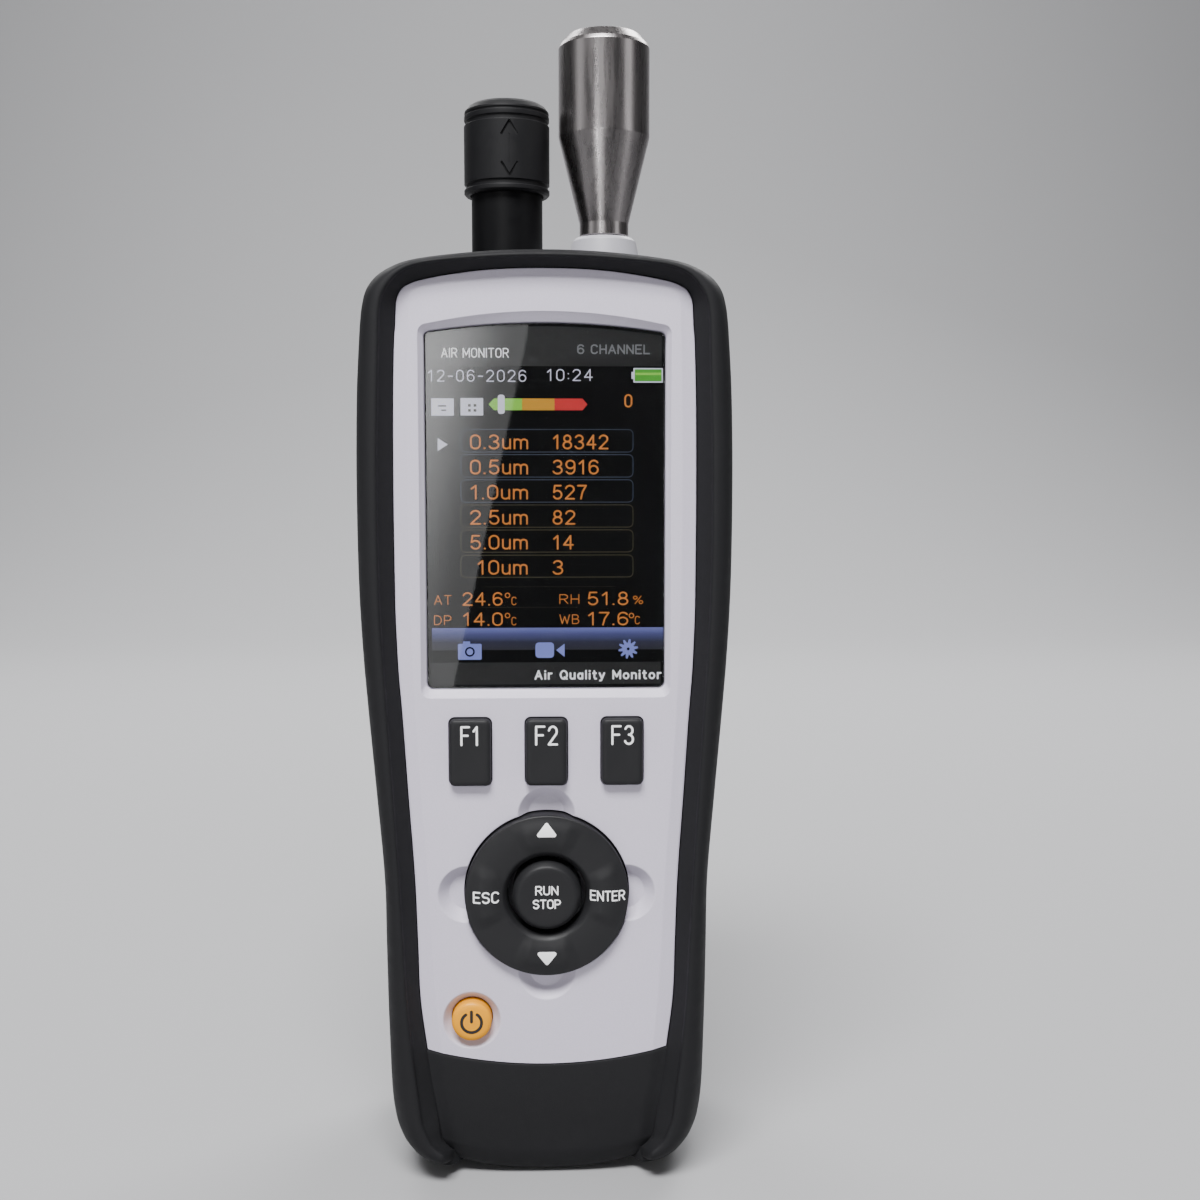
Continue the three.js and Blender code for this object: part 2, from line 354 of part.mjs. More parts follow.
// ---------------------------------------------------------------- temperature and humidity stem
{
  const { x, y, r } = STEM;
  let s = lathe([[5.2, 184.4], [9.4, 184.4], [9.4, 186.0], [r, 186.0], [r, 207], [6.35, 207.4], [6.35, 221.4], [5.9, 221.8], [5.2, 221.8], [5.2, 184.4]], 28, 'z', x, y);
  for (let i = 0; i < 4; i++) { const a = i * 90; s = s.subtract(solid(boxGeo(4, 8, -1.6, 1.6, 209.5, 219.5).rotateZ((a + 45) * Math.PI / 180).translate(x, y, 0))); }
  add('sensor_stem', s, 'black');
  add('sensor_element', box(x - 3.4, x + 3.4, y - 0.5, y + 0.5, 186, 221).add(box(x - 1.6, x + 1.6, y - 1.6, y + 1.6, 213, 216.2)), 'board');
  const g = STEM.guard;
  add('sensor_guard', lathe([[7.8, 205], [8.6, 205], [g, 205.5], [g, 206.3], [8.8, 206.45], [8.8, 207.25], [g, 207.4], [g, 219.5], [8.8, 219.7], [8.8, 220.5], [g, 220.7], [g, 222.3], [8.4, 223.3], [7.4, 224], [6.75, 224], [6.75, 222.2], [7.8, 222.2], [7.8, 205]], 32, 'z', x, y), 'black');
}
// inlet collar and probe
{
  const { x, y } = PROBE;
  add('inlet_collar', lathe([[2.0, 184.2], [8.6, 184.2], [8.6, 185.6], [7.4, 185.6], [7.4, 190.9], [7.55, 191.2], [7.55, 192.4], [6.8, 195.6], [6.0, 196.4], [4.2, 196.4], [4.2, 188], [2.0, 188], [2.0, 184.2]], 28, 'z', x, y), 'collar');
  add('isokinetic_probe', lathe([[1.7, 188.4], [3.8, 188.4], [3.8, 196.7], [PROBE.neck, 196.7], [PROBE.neck, 199.6], [PROBE.r, 217.6], [PROBE.r, 235.6], [9.35, 236.5], [7.5, 238.75], [7.0, 238.75], [6.6, 236], [1.7, 214], [1.7, 188.4]], 36, 'z', x, y), 'steel');
  add('inlet_tube', lathe([[1.8, 170.3], [3.2, 170.3], [3.2, 183.9], [1.8, 183.9], [1.8, 170.3]], 18, 'z', x, y), 'silicone');
}

// ---------------------------------------------------------------- air path and optics
add('optical_chamber', box(-8, 24, -8.5, 13, 146, 170).subtract(box(-4, 20, -4.5, 9, 150, 166)).subtract(cyl(1.8, 160, 175, 16, 'z', PROBE.x, 2)).subtract(cyl(1.8, 140, 155, 16, 'z', 6, 2))
  .subtract(cyl(2.5, -12, 0, 16, 'x', 2, 158)).subtract(cyl(2.5, 5, 16, 16, 'y', 8, 158)), 'alu');
add('laser_diode', cyl(4.2, -22, -8.3, 22, 'x', 2, 158), 'brass');
add('photodetector', cyl(4.2, 13.3, 16.6, 22, 'y', 8, 158), 'gold');
add('suction_tube', lathe([[1.8, 128.3], [3.2, 128.3], [3.2, 145.7], [1.8, 145.7], [1.8, 128.3]], 18, 'z', 6, 2), 'silicone');
add('pump_head', box(-15, 14, -8.5, 12.5, 106.3, 128).subtract(cyl(9.2, 100, 119, 36, 'z', 0, 2)).subtract(cyl(1.5, 118, 130, 14, 'z', 6, 2)).subtract(cyl(1.5, 4, 20, 14, 'x', 4, 114)), 'black');
add('pump_eccentric', cyl(3.0, 106.4, 117.5, 20, 'z', 0, 2).add(cyl(6.5, 109, 115, 28, 'z', 1.6, 2)), 'steel');
add('pump_motor', cyl(11.9, 78.5, 105.9, 36, 'z', 0, 2), 'alu');
add('exhaust_tube', lathe([[1.2, 14.3], [2.3, 14.3], [2.3, 18.0], [1.2, 18.0], [1.2, 14.3]], 16, 'x', 4, 114), 'silicone');
add('exhaust_filter', lathe([[0, 103], [4, 103], [6.8, 105], [6.8, 123], [4, 125], [0, 125]], 26, 'z', 25.2, 4), 'white');

// ---------------------------------------------------------------- power
add('battery_pack', pill(0, 37, 37.6, 54, 5, 1.2, 20.2, 0), 'battery');
add('battery_contacts', box(-7, 7, 4, 13, 64.6, 66.6), 'gold');

export default group;
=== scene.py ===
import math
import bpy
import bmesh
import numpy as np
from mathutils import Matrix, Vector


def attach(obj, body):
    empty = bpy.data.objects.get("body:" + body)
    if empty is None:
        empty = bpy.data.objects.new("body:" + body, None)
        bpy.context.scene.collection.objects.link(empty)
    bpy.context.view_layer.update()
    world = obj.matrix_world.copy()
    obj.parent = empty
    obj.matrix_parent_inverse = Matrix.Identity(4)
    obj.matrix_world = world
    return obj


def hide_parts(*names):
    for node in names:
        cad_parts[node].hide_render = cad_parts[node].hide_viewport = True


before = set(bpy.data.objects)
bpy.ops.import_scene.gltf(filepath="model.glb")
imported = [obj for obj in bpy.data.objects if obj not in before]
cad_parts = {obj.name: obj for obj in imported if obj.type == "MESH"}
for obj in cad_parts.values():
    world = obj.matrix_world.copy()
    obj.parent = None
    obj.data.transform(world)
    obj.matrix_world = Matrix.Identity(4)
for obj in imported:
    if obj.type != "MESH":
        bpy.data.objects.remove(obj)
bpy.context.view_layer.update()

MM = 0.001
SCN = bpy.context.scene

# ------------------------------------------------------------------ dimensions (millimetres), as the CAD frame
Y_CROWN, Y_PANEL, Y_SPLIT = -28.5, -25.2, -8.5
Y_GRIP, Y_BACK, Z_RAMP, R_BACK = 23.5, 28.5, (121.0, 133.0), 9.0
KEY_W, KEY_H, KEY_R, KEY_PITCH, KEY_Z, KEY_FRONT = 8.45, 13.7, 1.1, 15.35, 90.2, -27.0
PAD_Z, PAD_R, PAD_HOLE = 60.65, 16.65, 17.0
POW_X, POW_Z, POW_R = -15.5, 34.2, 4.1
STEM_X, STEM_Y = -8.0, 2.0
PRB_X, PRB_Y = 12.75, 2.0
TRI_Z, CAM_Z = 141.0, 166.0
SCREWS = [(28.3, 178.0), (-28.3, 178.0), (25.0, 80.0), (-25.0, 80.0)]
FLAP = (-2.0, 14.0, 98.0, 138.0)

# outlines, right half from bottom to top
OUT_A = [(0, 0), (10, 0), (20, 0), (24.5, 0.7), (27.6, 2.4), (29.9, 5.2), (31.3, 8.8), (32.0, 14.7), (32.4, 26),
         (32.7, 37.3), (32.9, 50), (33.1, 63.2), (34.4, 80), (35.9, 97.6), (36.75, 108.5), (37.35, 119.5), (37.5, 124), (37.6, 128.5),
         (37.66, 133), (37.7, 141.4), (37.62, 152), (37.33, 163.4), (36.9, 171), (36.5, 176.5), (36.1, 179.4), (35.2, 182.5),
         (33.2, 185.05), (30.12, 186.9), (26.56, 188.1), (13.17, 189.8), (0, 190.3)]
U_A = [(15.0, 0.0), (18.4, 0.0), (20.4, 0.0), (22.3, 0.2), (24.5, 0.75), (27.1, 2.1), (29.6, 4.8), (31.1, 8.3), (31.9, 13.8)] + OUT_A[8:]
U_F = [(15.0, 5.6), (18.9, 3.75), (20.4, 2.95), (22.4, 2.5), (24.7, 2.85), (27.5, 4.4), (30.1, 7.4), (31.5, 10.9), (32.1, 15.2)] + OUT_A[8:]   # front edge of the corners
U_B = [(15.0, 6.0), (18.8, 5.3), (20.5, 6.15), (21.7, 7.1), (22.85, 8.05), (23.8, 9.1), (24.65, 10.95), (25.6, 13.55), (26.05, 17), (27.35, 28),
       (28.37, 39.1), (29.0, 52), (29.64, 64.7), (30.6, 81), (31.65, 98.5), (32.3, 109), (32.8, 120), (32.9, 124), (33.0, 128.5),
       (33.03, 133), (33.05, 141.5), (32.95, 152), (32.63, 163), (32.4, 171), (32.28, 175.7), (32.1, 178), (31.68, 180.2),
       (30.83, 182.1), (28.81, 184.6), (25.66, 186.35), (12.83, 187.9), (0, 188.37)]
U_C = [(15.0, 6.2), (18.7, 5.5), (20.0, 6.4), (21.1, 7.5), (21.7, 8.35), (22.05, 9.4), (22.25, 11.2), (22.6, 13.65), (23.1, 16.8), (24.8, 28),
       (26.15, 38.9), (26.5, 50), (27.0, 64.3), (28.1, 81), (29.2, 98.4), (29.8, 106.2), (30.3, 119.2), (30.34, 124), (30.37, 128.5),
       (30.39, 133), (30.41, 140.1), (30.35, 152), (30.24, 160.8), (29.85, 173.2), (29.68, 174.9), (29.56, 177.4), (29.3, 180.5),
       (28.22, 182.6), (26.8, 183.5), (24.55, 184.3), (13.12, 186.2), (0, 186.8)]
OUT_C = [(0, -3), (12, -3), (21.0, -3), (21.3, 1.5), (21.6, 5.5), (22.1, 10.2), (22.6, 13.65), (23.1, 16.8)] + U_C[9:]


OUT_D = [(0, -3), (11, -3), (18.2, -3), (18.4, 1.5), (18.75, 5.5), (19.5, 10.2), (20.1, 13.8), (20.5, 17), (21.75, 28), (22.84, 39), (23.5, 50),
         (24.2, 64.5), (25.35, 81), (26.4, 98.6), (26.75, 106.4), (27.2, 119.3), (27.28, 124), (27.33, 128.5), (27.37, 133), (27.4, 140.1), (27.34, 152),
         (27.25, 160.8), (27.0, 172.6), (26.95, 174.4), (26.9, 176.9), (26.8, 179.5), (26.55, 180.9), (25.95, 181.65), (24.6, 182.15), (13.3, 183.6), (0, 184.3)]


# ------------------------------------------------------------------ curves and rings
def catmull(points, counts, first, last):
    """Points along a centripetal Catmull-Rom curve, counts[i] steps in segment i; first and last are the points before and after."""
    p = [np.array(first, float)] + [np.array(q, float) for q in points] + [np.array(last, float)]
    out = []
    for i in range(1, len(p) - 2):
        p0, p1, p2, p3 = p[i - 1], p[i], p[i + 1], p[i + 2]
        t0 = 0.0
        t1 = t0 + max(np.linalg.norm(p1 - p0), 1e-6) ** 0.5
        t2 = t1 + max(np.linalg.norm(p2 - p1), 1e-6) ** 0.5
        t3 = t2 + max(np.linalg.norm(p3 - p2), 1e-6) ** 0.5
        for k in range(counts[i - 1]):
            t = t1 + (t2 - t1) * k / counts[i - 1]
            a1 = (t1 - t) / (t1 - t0) * p0 + (t - t0) / (t1 - t0) * p1
            a2 = (t2 - t) / (t2 - t1) * p1 + (t - t1) / (t2 - t1) * p2
            a3 = (t3 - t) / (t3 - t2) * p2 + (t - t2) / (t3 - t2) * p3
            b1 = (t2 - t) / (t2 - t0) * a1 + (t - t0) / (t2 - t0) * a2
            b2 = (t3 - t) / (t3 - t1) * a2 + (t - t1) / (t3 - t1) * a3
            out.append((t2 - t) / (t2 - t1) * b1 + (t - t1) / (t2 - t1) * b2)
    out.append(np.array(points[-1], float))
    return np.array(out)


def steps_for(points, step, least):
    return [max(least, int(math.ceil(math.dist(points[i], points[i + 1]) / step))) for i in range(len(points) - 1)]


def half_curve(points, counts, closed_bottom=True):
    first = (-points[1][0], points[1][1]) if closed_bottom else (2 * points[0][0] - points[1][0], 2 * points[0][1] - points[1][1])
    return catmull(points, counts, first, (-points[-2][0], points[-2][1]))


def mirrored(half):
    """Full symmetric ring: bottom centre, up the right side, top centre, down the left."""
    left = half[1:-1][::-1] * np.array([-1, 1])
    return np.vstack([half, left])


def arch(half):
    """Open path: left end, up, over the top, down to the right end, as one line from right end to left end."""
    return np.vstack([half, half[:-1][::-1] * np.array([-1, 1])])


def inset(ring, d, closed=True):
    if closed:
        t = np.roll(ring, -1, 0) - np.roll(ring, 1, 0)
    else:
        t = np.gradient(ring, axis=0)
    t /= np.linalg.norm(t, axis=1)[:, None]
    return ring + np.stack([-t[:, 1], t[:, 0]], 1) * d


def shrink(ring, d):
    return np.stack([ring[:, 0] * (1 - d / 37.7), 95 + (ring[:, 1] - 95) * (1 - d / 95.15)], 1)


def smooth(t):
    t = np.clip(t, 0, 1)
    return t * t * (3 - 2 * t)


def y_back(z):
    return Y_GRIP + (Y_BACK - Y_GRIP) * smooth((np.asarray(z, float) - Z_RAMP[0]) / (Z_RAMP[1] - Z_RAMP[0]))


def at(ring, y):
    yy = np.broadcast_to(np.asarray(y, float), (len(ring),))
    return np.stack([ring[:, 0], yy, ring[:, 1]], 1)


# ------------------------------------------------------------------ meshes
def make(name, verts, faces, weld=1e-7):
    me = bpy.data.meshes.new(name)
    me.from_pydata((np.asarray(verts, float) * MM).tolist(), [], [list(map(int, f)) for f in faces])
    bm = bmesh.new()
    bm.from_mesh(me)
    bmesh.ops.remove_doubles(bm, verts=bm.verts, dist=weld)
    bmesh.ops.dissolve_degenerate(bm, dist=weld, edges=bm.edges)
    bmesh.ops.recalc_face_normals(bm, faces=bm.faces)
    bm.to_mesh(me)
    bm.free()
    o = bpy.data.objects.new(name, me)
    SCN.collection.objects.link(o)
    return o


def ladder(n, offset=0):
    """Rungs across a symmetric ring of n points."""
    m, f = n // 2, []
    f.append((0, n - 1, 1))
    for i in range(1, m - 1):
        f.append((i, n - i, n - i - 1, i + 1))
    f.append((m - 1, m + 1, m))
    return [tuple(offset + k for k in q) for q in f]


def loft(name, rings, cap="ladder"):
    n = len(rings[0])
    V = np.vstack(rings)
    F = []
    for k in range(len(rings) - 1):
        for i in range(n):
            j = (i + 1) % n
            F.append((k * n + i, k * n + j, (k + 1) * n + j, (k + 1) * n + i))
    last = (len(rings) - 1) * n
    if cap == "ladder":
        F += ladder(n) + ladder(n, last)
    elif cap == "ngon":
        F += [tuple(range(n)), tuple(range(last, last + n))]
    elif cap == "tube":
        for i in range(n):
            j = (i + 1) % n
            F.append((last + i, last + j, j, i))
    return make(name, V, F)


def spin(name, prof, seg, axis="y", a=0.0, b=0.0, closed=False):
    """Turns a profile of (radius, height) about an axis through (a, b). A closed profile doesn't touch the axis."""
    prof = [tuple(p) for p in prof]
    ang = np.arange(seg) * 2 * math.pi / seg
    V, rows = [], []
    for r, h in prof:
        if r < 1e-6:
            rows.append([len(V)]); V.append((0, 0, h))
        else:
            rows.append(list(range(len(V), len(V) + seg)))
            V += [(r * math.cos(t), r * math.sin(t), h) for t in ang]
    F = []
    pairs = list(zip(rows[:-1], rows[1:])) + ([(rows[-1], rows[0])] if closed else [])
    for p, q in pairs:
        if len(p) == 1 and len(q) == 1:
            continue
        for i in range(seg):
            j = (i + 1) % seg
            if len(p) == 1:
                F.append((p[0], q[j], q[i]))
            elif len(q) == 1:
                F.append((p[i], p[j], q[0]))
            else:
                F.append((p[i], p[j], q[j], q[i]))
    V = np.array(V, float)
    if axis == "y":
        V = np.stack([V[:, 0] + a, V[:, 2], V[:, 1] + b], 1)
    elif axis == "z":
        V = np.stack([V[:, 0] + a, V[:, 1] + b, V[:, 2]], 1)
    else:
        V = np.stack([V[:, 2], V[:, 0] + a, V[:, 1] + b], 1)
    return make(name, V, F)


def rounded(points, closed=False, k=5):
    """Polyline with its corners rounded. Each point is (x, y) or (x, y, radius)."""
    out, n = [], len(points)
    for i, p in enumerate(points):
        r = p[2] if len(p) > 2 else 0
        if r <= 0 or (not closed and i in (0, n - 1)):
            out.append((p[0], p[1])); continue
        a, b, c = np.array(points[i - 1][:2], float), np.array(p[:2], float), np.array(points[(i + 1) % n][:2], float)
        u, v = a - b, c - b
        lu, lv = np.linalg.norm(u), np.linalg.norm(v)
        u, v = u / lu, v / lv
        half = math.acos(max(-1, min(1, float(u @ v)))) / 2
        if half > math.radians(88):
            out.append((p[0], p[1])); continue
        d = min(r / math.tan(half), lu * 0.48, lv * 0.48)
        rr = d * math.tan(half)
        mid = (u + v) / np.linalg.norm(u + v)
        centre = b + mid * rr / math.sin(half)
        s, e = b + u * d, b + v * d
        a0, a1 = math.atan2(*(s - centre)[::-1]), math.atan2(*(e - centre)[::-1])
        da = (a1 - a0 + math.pi) % (2 * math.pi) - math.pi
        for q in range(k + 1):
            t = a0 + da * q / k
            out.append((centre[0] + rr * math.cos(t), centre[1] + rr * math.sin(t)))
    return out


def rrect(cx, cz, w, h, r, k=8):
    pts = []
    for sx, sz, a0 in ((1, 1, 0), (-1, 1, 90), (-1, -1, 180), (1, -1, 270)):
        for i in range(k + 1):
            t = math.radians(a0 + 90 * i / k)
            pts.append((cx + sx * (w / 2 - r) + r * math.cos(t), cz + sz * (h / 2 - r) + r * math.sin(t)))
    return np.array(pts)


def fan_cap_solid(name, rings):
    """Loft of convex rings, each end closed by a fan to its centre point, for smooth shading."""
    n, V, F = len(rings[0]), [], []
    rings = [np.asarray(r, float) for r in rings]
    for r in rings:
        V.append(r)
    for k in range(len(rings) - 1):
        for i in range(n):
            j = (i + 1) % n
            F.append((k * n + i, k * n + j, (k + 1) * n + j, (k + 1) * n + i))
    base = len(rings) * n
    V.append(rings[0].mean(0)[None]); V.append(rings[-1].mean(0)[None])
    for i in range(n):
        j = (i + 1) % n
        F.append((j, i, base))
        F.append(((len(rings) - 1) * n + i, (len(rings) - 1) * n + j, base + 1))
    return make(name, np.vstack(V), F)


def box(name, x0, x1, y0, y1, z0, z1):
    V = [(x, y, z) for z in (z0, z1) for y in (y0, y1) for x in (x0, x1)]
    F = [(0, 2, 3, 1), (4, 5, 7, 6), (0, 1, 5, 4), (2, 6, 7, 3), (0, 4, 6, 2), (1, 3, 7, 5)]
    return make(name, V, F)


def rbox(name, x0, x1, y0, y1, z0, z1, r=0.4, k=3, axis="y"):
    """Box with all its edges rounded, as a stack of rounded rectangles along one axis."""
    spans = {"x": (y0, y1, z0, z1, x0, x1), "y": (x0, x1, z0, z1, y0, y1), "z": (x0, x1, y0, y1, z0, z1)}[axis]
    a0, a1, b0, b1, h0, h1 = spans
    rings = []
    levels = [(h0 + r * (1 - math.sin(t)), r * (1 - math.cos(t))) for t in [math.pi / 2 * (1 - i / k) for i in range(k + 1)]]
    levels = [(h, d) for h, d in levels]
    levels += [(h1 - (h - h0), d) for h, d in levels[::-1]]
    for h, d in levels:
        q = rrect((a0 + a1) / 2, (b0 + b1) / 2, a1 - a0 - 2 * d, b1 - b0 - 2 * d, max(r * 1.6 - d * 0.5, 0.1), 5)
        hh = np.full(len(q), h)
        rings.append({"x": np.stack([hh, q[:, 0], q[:, 1]], 1), "y": np.stack([q[:, 0], hh, q[:, 1]], 1), "z": np.stack([q[:, 0], q[:, 1], hh], 1)}[axis])
    return fan_cap_solid(name, rings)


def cut(o, *tools, op="DIFFERENCE", keep=False):
    for t in tools:
        before = len(o.data.polygons)
        m = o.modifiers.new("b", "BOOLEAN")
        m.operation, m.object, m.solver = op, t, "MANIFOLD"
        dg = bpy.context.evaluated_depsgraph_get()
        me = bpy.data.meshes.new_from_object(o.evaluated_get(dg))
        o.modifiers.clear()
        if len(me.polygons) == 0 or (len(me.polygons) == before and len(me.vertices) == len(o.data.vertices)):
            print("BOOLEAN DID NOTHING:", o.name, t.name, op, before)
        old = o.data
        o.data = me
        bpy.data.meshes.remove(old)
        if not keep:
            bpy.data.objects.remove(t)
    return o


def join(o, *tools):
    return cut(o, *tools, op="UNION")


def tidy(o, angle=38, weighted=True):
    me = o.data
    for p in me.polygons:
        p.use_smooth = True
    me.set_sharp_from_angle(angle=math.radians(angle))
    if weighted:
        w = o.modifiers.new("wn", "WEIGHTED_NORMAL")
        w.keep_sharp = True
        w.weight = 60
    return o


def level(o, angle=38, least=3.0):
    """Gives every large flat region one true normal, so its cut outline does not bend the light across it."""
    dg = bpy.context.evaluated_depsgraph_get()
    dg.update()
    me = bpy.data.meshes.new_from_object(o.evaluated_get(dg), preserve_all_data_layers=True, depsgraph=dg)
    o.modifiers.clear()
    old = o.data
    me.name = old.name + "_level"
    o.data = me
    nf, nl, ne = len(me.polygons), len(me.loops), len(me.edges)
    fn = np.empty(nf * 3, np.float32); me.polygons.foreach_get("normal", fn); fn = fn.reshape(-1, 3).astype(float)
    fa = np.empty(nf, np.float32); me.polygons.foreach_get("area", fa); fa = fa.astype(float) / MM ** 2
    tot = np.empty(nf, np.int32); me.polygons.foreach_get("loop_total", tot)
    lf = np.repeat(np.arange(nf), tot)
    lv = np.empty(nl, np.int32); me.loops.foreach_get("vertex_index", lv)
    le = np.empty(nl, np.int32); me.loops.foreach_get("edge_index", le)
    order = np.argsort(le, kind="stable")
    es, fs = le[order], lf[order]
    pair = np.nonzero(es[1:] == es[:-1])[0]
    f0, f1 = fs[pair], fs[pair + 1]
    same = np.einsum("ij,ij->i", fn[f0], fn[f1]) > math.cos(math.radians(0.3))
    parent = list(range(nf))
    def root(i):
        while parent[i] != i:
            parent[i] = parent[parent[i]]
            i = parent[i]
        return i
    for a_, b_ in zip(f0[same].tolist(), f1[same].tolist()):
        ra, rb = root(a_), root(b_)
        if ra != rb:
            parent[rb] = ra
    rg = np.array([root(i) for i in range(nf)])
    ids, rg = np.unique(rg, return_inverse=True)
    area = np.bincount(rg, fa)
    mean = np.stack([np.bincount(rg, fn[:, k] * fa) for k in range(3)], 1)
    mean /= np.maximum(np.linalg.norm(mean, axis=1, keepdims=True), 1e-12)
    worst = np.full(len(ids), 1.0)
    np.minimum.at(worst, rg, np.einsum("ij,ij->i", fn, mean[rg]))
    flatr = (area > least) & (worst > math.cos(math.radians(0.7)))
    nor = np.empty(nl * 3, np.float32); me.corner_normals.foreach_get("vector", nor); nor = nor.reshape(-1, 3).astype(float)
    best = {}
    for v_, r_ in set(zip(lv[flatr[rg[lf]]].tolist(), rg[lf][flatr[rg[lf]]].tolist())):
        best.setdefault(v_, []).append(r_)
    lim = math.cos(math.radians(angle))
    lvl, lfl = lv.tolist(), lf.tolist()
    for i in range(nl):
        r_ = rg[lfl[i]]
        if flatr[r_]:
            nor[i] = mean[r_]
        elif lvl[i] in best:
            f_ = fn[lfl[i]]
            near = [q for q in best[lvl[i]] if float(f_ @ mean[q]) > lim]
            if near:
                nor[i] = mean[max(near, key=lambda q: area[q])]
    me.normals_split_custom_set(nor.tolist())
    return o


def piece(o, body, material, replaces=(), angle=38, weighted=True):
    o.data.materials.clear()
    o.data.materials.append(material)
    tidy(o, angle, weighted)
    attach(o, body)
    if replaces:
        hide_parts(*replaces)
    return o


# ------------------------------------------------------------------ materials
def srgb(r, g, b):
    f = lambda c: c / 255 / 12.92 if c / 255 <= 0.04045 else ((c / 255 + 0.055) / 1.055) ** 2.4
    return (f(r), f(g), f(b))


def material(name, colour, rough=0.5, metal=0.0, grain=None, tone=0.04, rough_var=0.05, mottle=140, spec=None, coat=None, aniso=None,
             stretch=None, wear=None, emission=None, fleck=None, sub=None):
    """Procedural finish: colour with a slow tonal drift, roughness that varies, and a fine moulded or turned grain in the bump."""
    m = bpy.data.materials.new(name)
    m.use_nodes = True
    nt = m.node_tree
    bs = nt.nodes["Principled BSDF"]
    N = lambda kind, **kw: _node(nt, kind, **kw)
    coord = N("ShaderNodeTexCoord")
    src = coord.outputs["Object"]
    # tonal drift
    slow = N("ShaderNodeTexNoise"); slow.inputs["Scale"].default_value = mottle; slow.inputs["Detail"].default_value = 3
    vec = src
    if stretch:
        mp = N("ShaderNodeMapping"); mp.inputs["Scale"].default_value = stretch
        nt.links.new(src, mp.inputs["Vector"]); vec = mp.outputs[0]
    nt.links.new(vec, slow.inputs["Vector"])
    ramp = N("ShaderNodeMixRGB"); ramp.blend_type = "MIX"
    c = np.array(colour)
    ramp.inputs[1].default_value = (*np.clip(c * (1 - tone), 0, 1), 1)
    ramp.inputs[2].default_value = (*np.clip(c * (1 + tone), 0, 1), 1)
    nt.links.new(slow.outputs["Fac"], ramp.inputs[0])
    col = ramp.outputs[0]
    if fleck:
        fl = N("ShaderNodeTexNoise"); fl.inputs["Scale"].default_value = fleck[0]; fl.inputs["Detail"].default_value = 2
        nt.links.new(src, fl.inputs["Vector"])
        mr = N("ShaderNodeMapRange"); mr.inputs[1].default_value = 0.3; mr.inputs[2].default_value = 0.7
        mr.inputs[3].default_value = 1 - fleck[1]; mr.inputs[4].default_value = 1 + fleck[1]
        nt.links.new(fl.outputs["Fac"], mr.inputs[0])
        mul = N("ShaderNodeMixRGB"); mul.blend_type = "MULTIPLY"; mul.inputs[0].default_value = 1
        nt.links.new(col, mul.inputs[1]); nt.links.new(mr.outputs[0], mul.inputs[2])
        col = mul.outputs[0]
    if wear:
        rub = N("ShaderNodeTexNoise"); rub.inputs["Scale"].default_value = 55; rub.inputs["Detail"].default_value = 8
        rub.inputs["Roughness"].default_value = 0.72
        nt.links.new(src, rub.inputs["Vector"])
        mr = N("ShaderNodeMapRange"); mr.inputs[1].default_value = wear[0]; mr.inputs[2].default_value = wear[1]
        mr.inputs[3].default_value = 0; mr.inputs[4].default_value = wear[2]; mr.clamp = True
        nt.links.new(rub.outputs["Fac"], mr.inputs[0])
        mix = N("ShaderNodeMixRGB"); mix.blend_type = "MIX"
        nt.links.new(mr.outputs[0], mix.inputs[0]); nt.links.new(col, mix.inputs[1])
        mix.inputs[2].default_value = (*np.clip(c * 1.9 + 0.02, 0, 1), 1)
        col = mix.outputs[0]
    nt.links.new(col, bs.inputs["Base Color"])
    # roughness
    rn = N("ShaderNodeTexNoise"); rn.inputs["Scale"].default_value = mottle * 3.1; rn.inputs["Detail"].default_value = 4
    nt.links.new(vec, rn.inputs["Vector"])
    rr = N("ShaderNodeMapRange"); rr.inputs[1].default_value = 0.3; rr.inputs[2].default_value = 0.7
    rr.inputs[3].default_value = max(0.02, rough - rough_var); rr.inputs[4].default_value = min(1, rough + rough_var)
    nt.links.new(rn.outputs["Fac"], rr.inputs[0]); nt.links.new(rr.outputs[0], bs.inputs["Roughness"])
    bs.inputs["Metallic"].default_value = metal
    if spec is not None:
        bs.inputs["Specular IOR Level"].default_value = spec
    if coat:
        bs.inputs["Coat Weight"].default_value, bs.inputs["Coat Roughness"].default_value = coat
    if aniso is not None:
        bs.inputs["Anisotropic"].default_value = aniso
    if sub:
        bs.inputs["Subsurface Weight"].default_value = sub
        bs.inputs["Subsurface Radius"].default_value = (0.001, 0.001, 0.001)
    if emission:
        bs.inputs["Emission Color"].default_value = (*emission[0], 1)
        bs.inputs["Emission Strength"].default_value = emission[1]
    if grain:
        scale, strength, depth = grain
        gn = N("ShaderNodeTexNoise"); gn.inputs["Scale"].default_value = scale; gn.inputs["Detail"].default_value = 3
        gn.inputs["Roughness"].default_value = 0.6
        nt.links.new(vec, gn.inputs["Vector"])
        bp = N("ShaderNodeBump"); bp.inputs["Strength"].default_value = strength; bp.inputs["Distance"].default_value = depth * MM
        nt.links.new(gn.outputs["Fac"], bp.inputs["Height"]); nt.links.new(bp.outputs[0], bs.inputs["Normal"])
    return m


def _node(nt, kind, **kw):
    n = nt.nodes.new(kind)
    for k, v in kw.items():
        setattr(n, k, v)
    return n


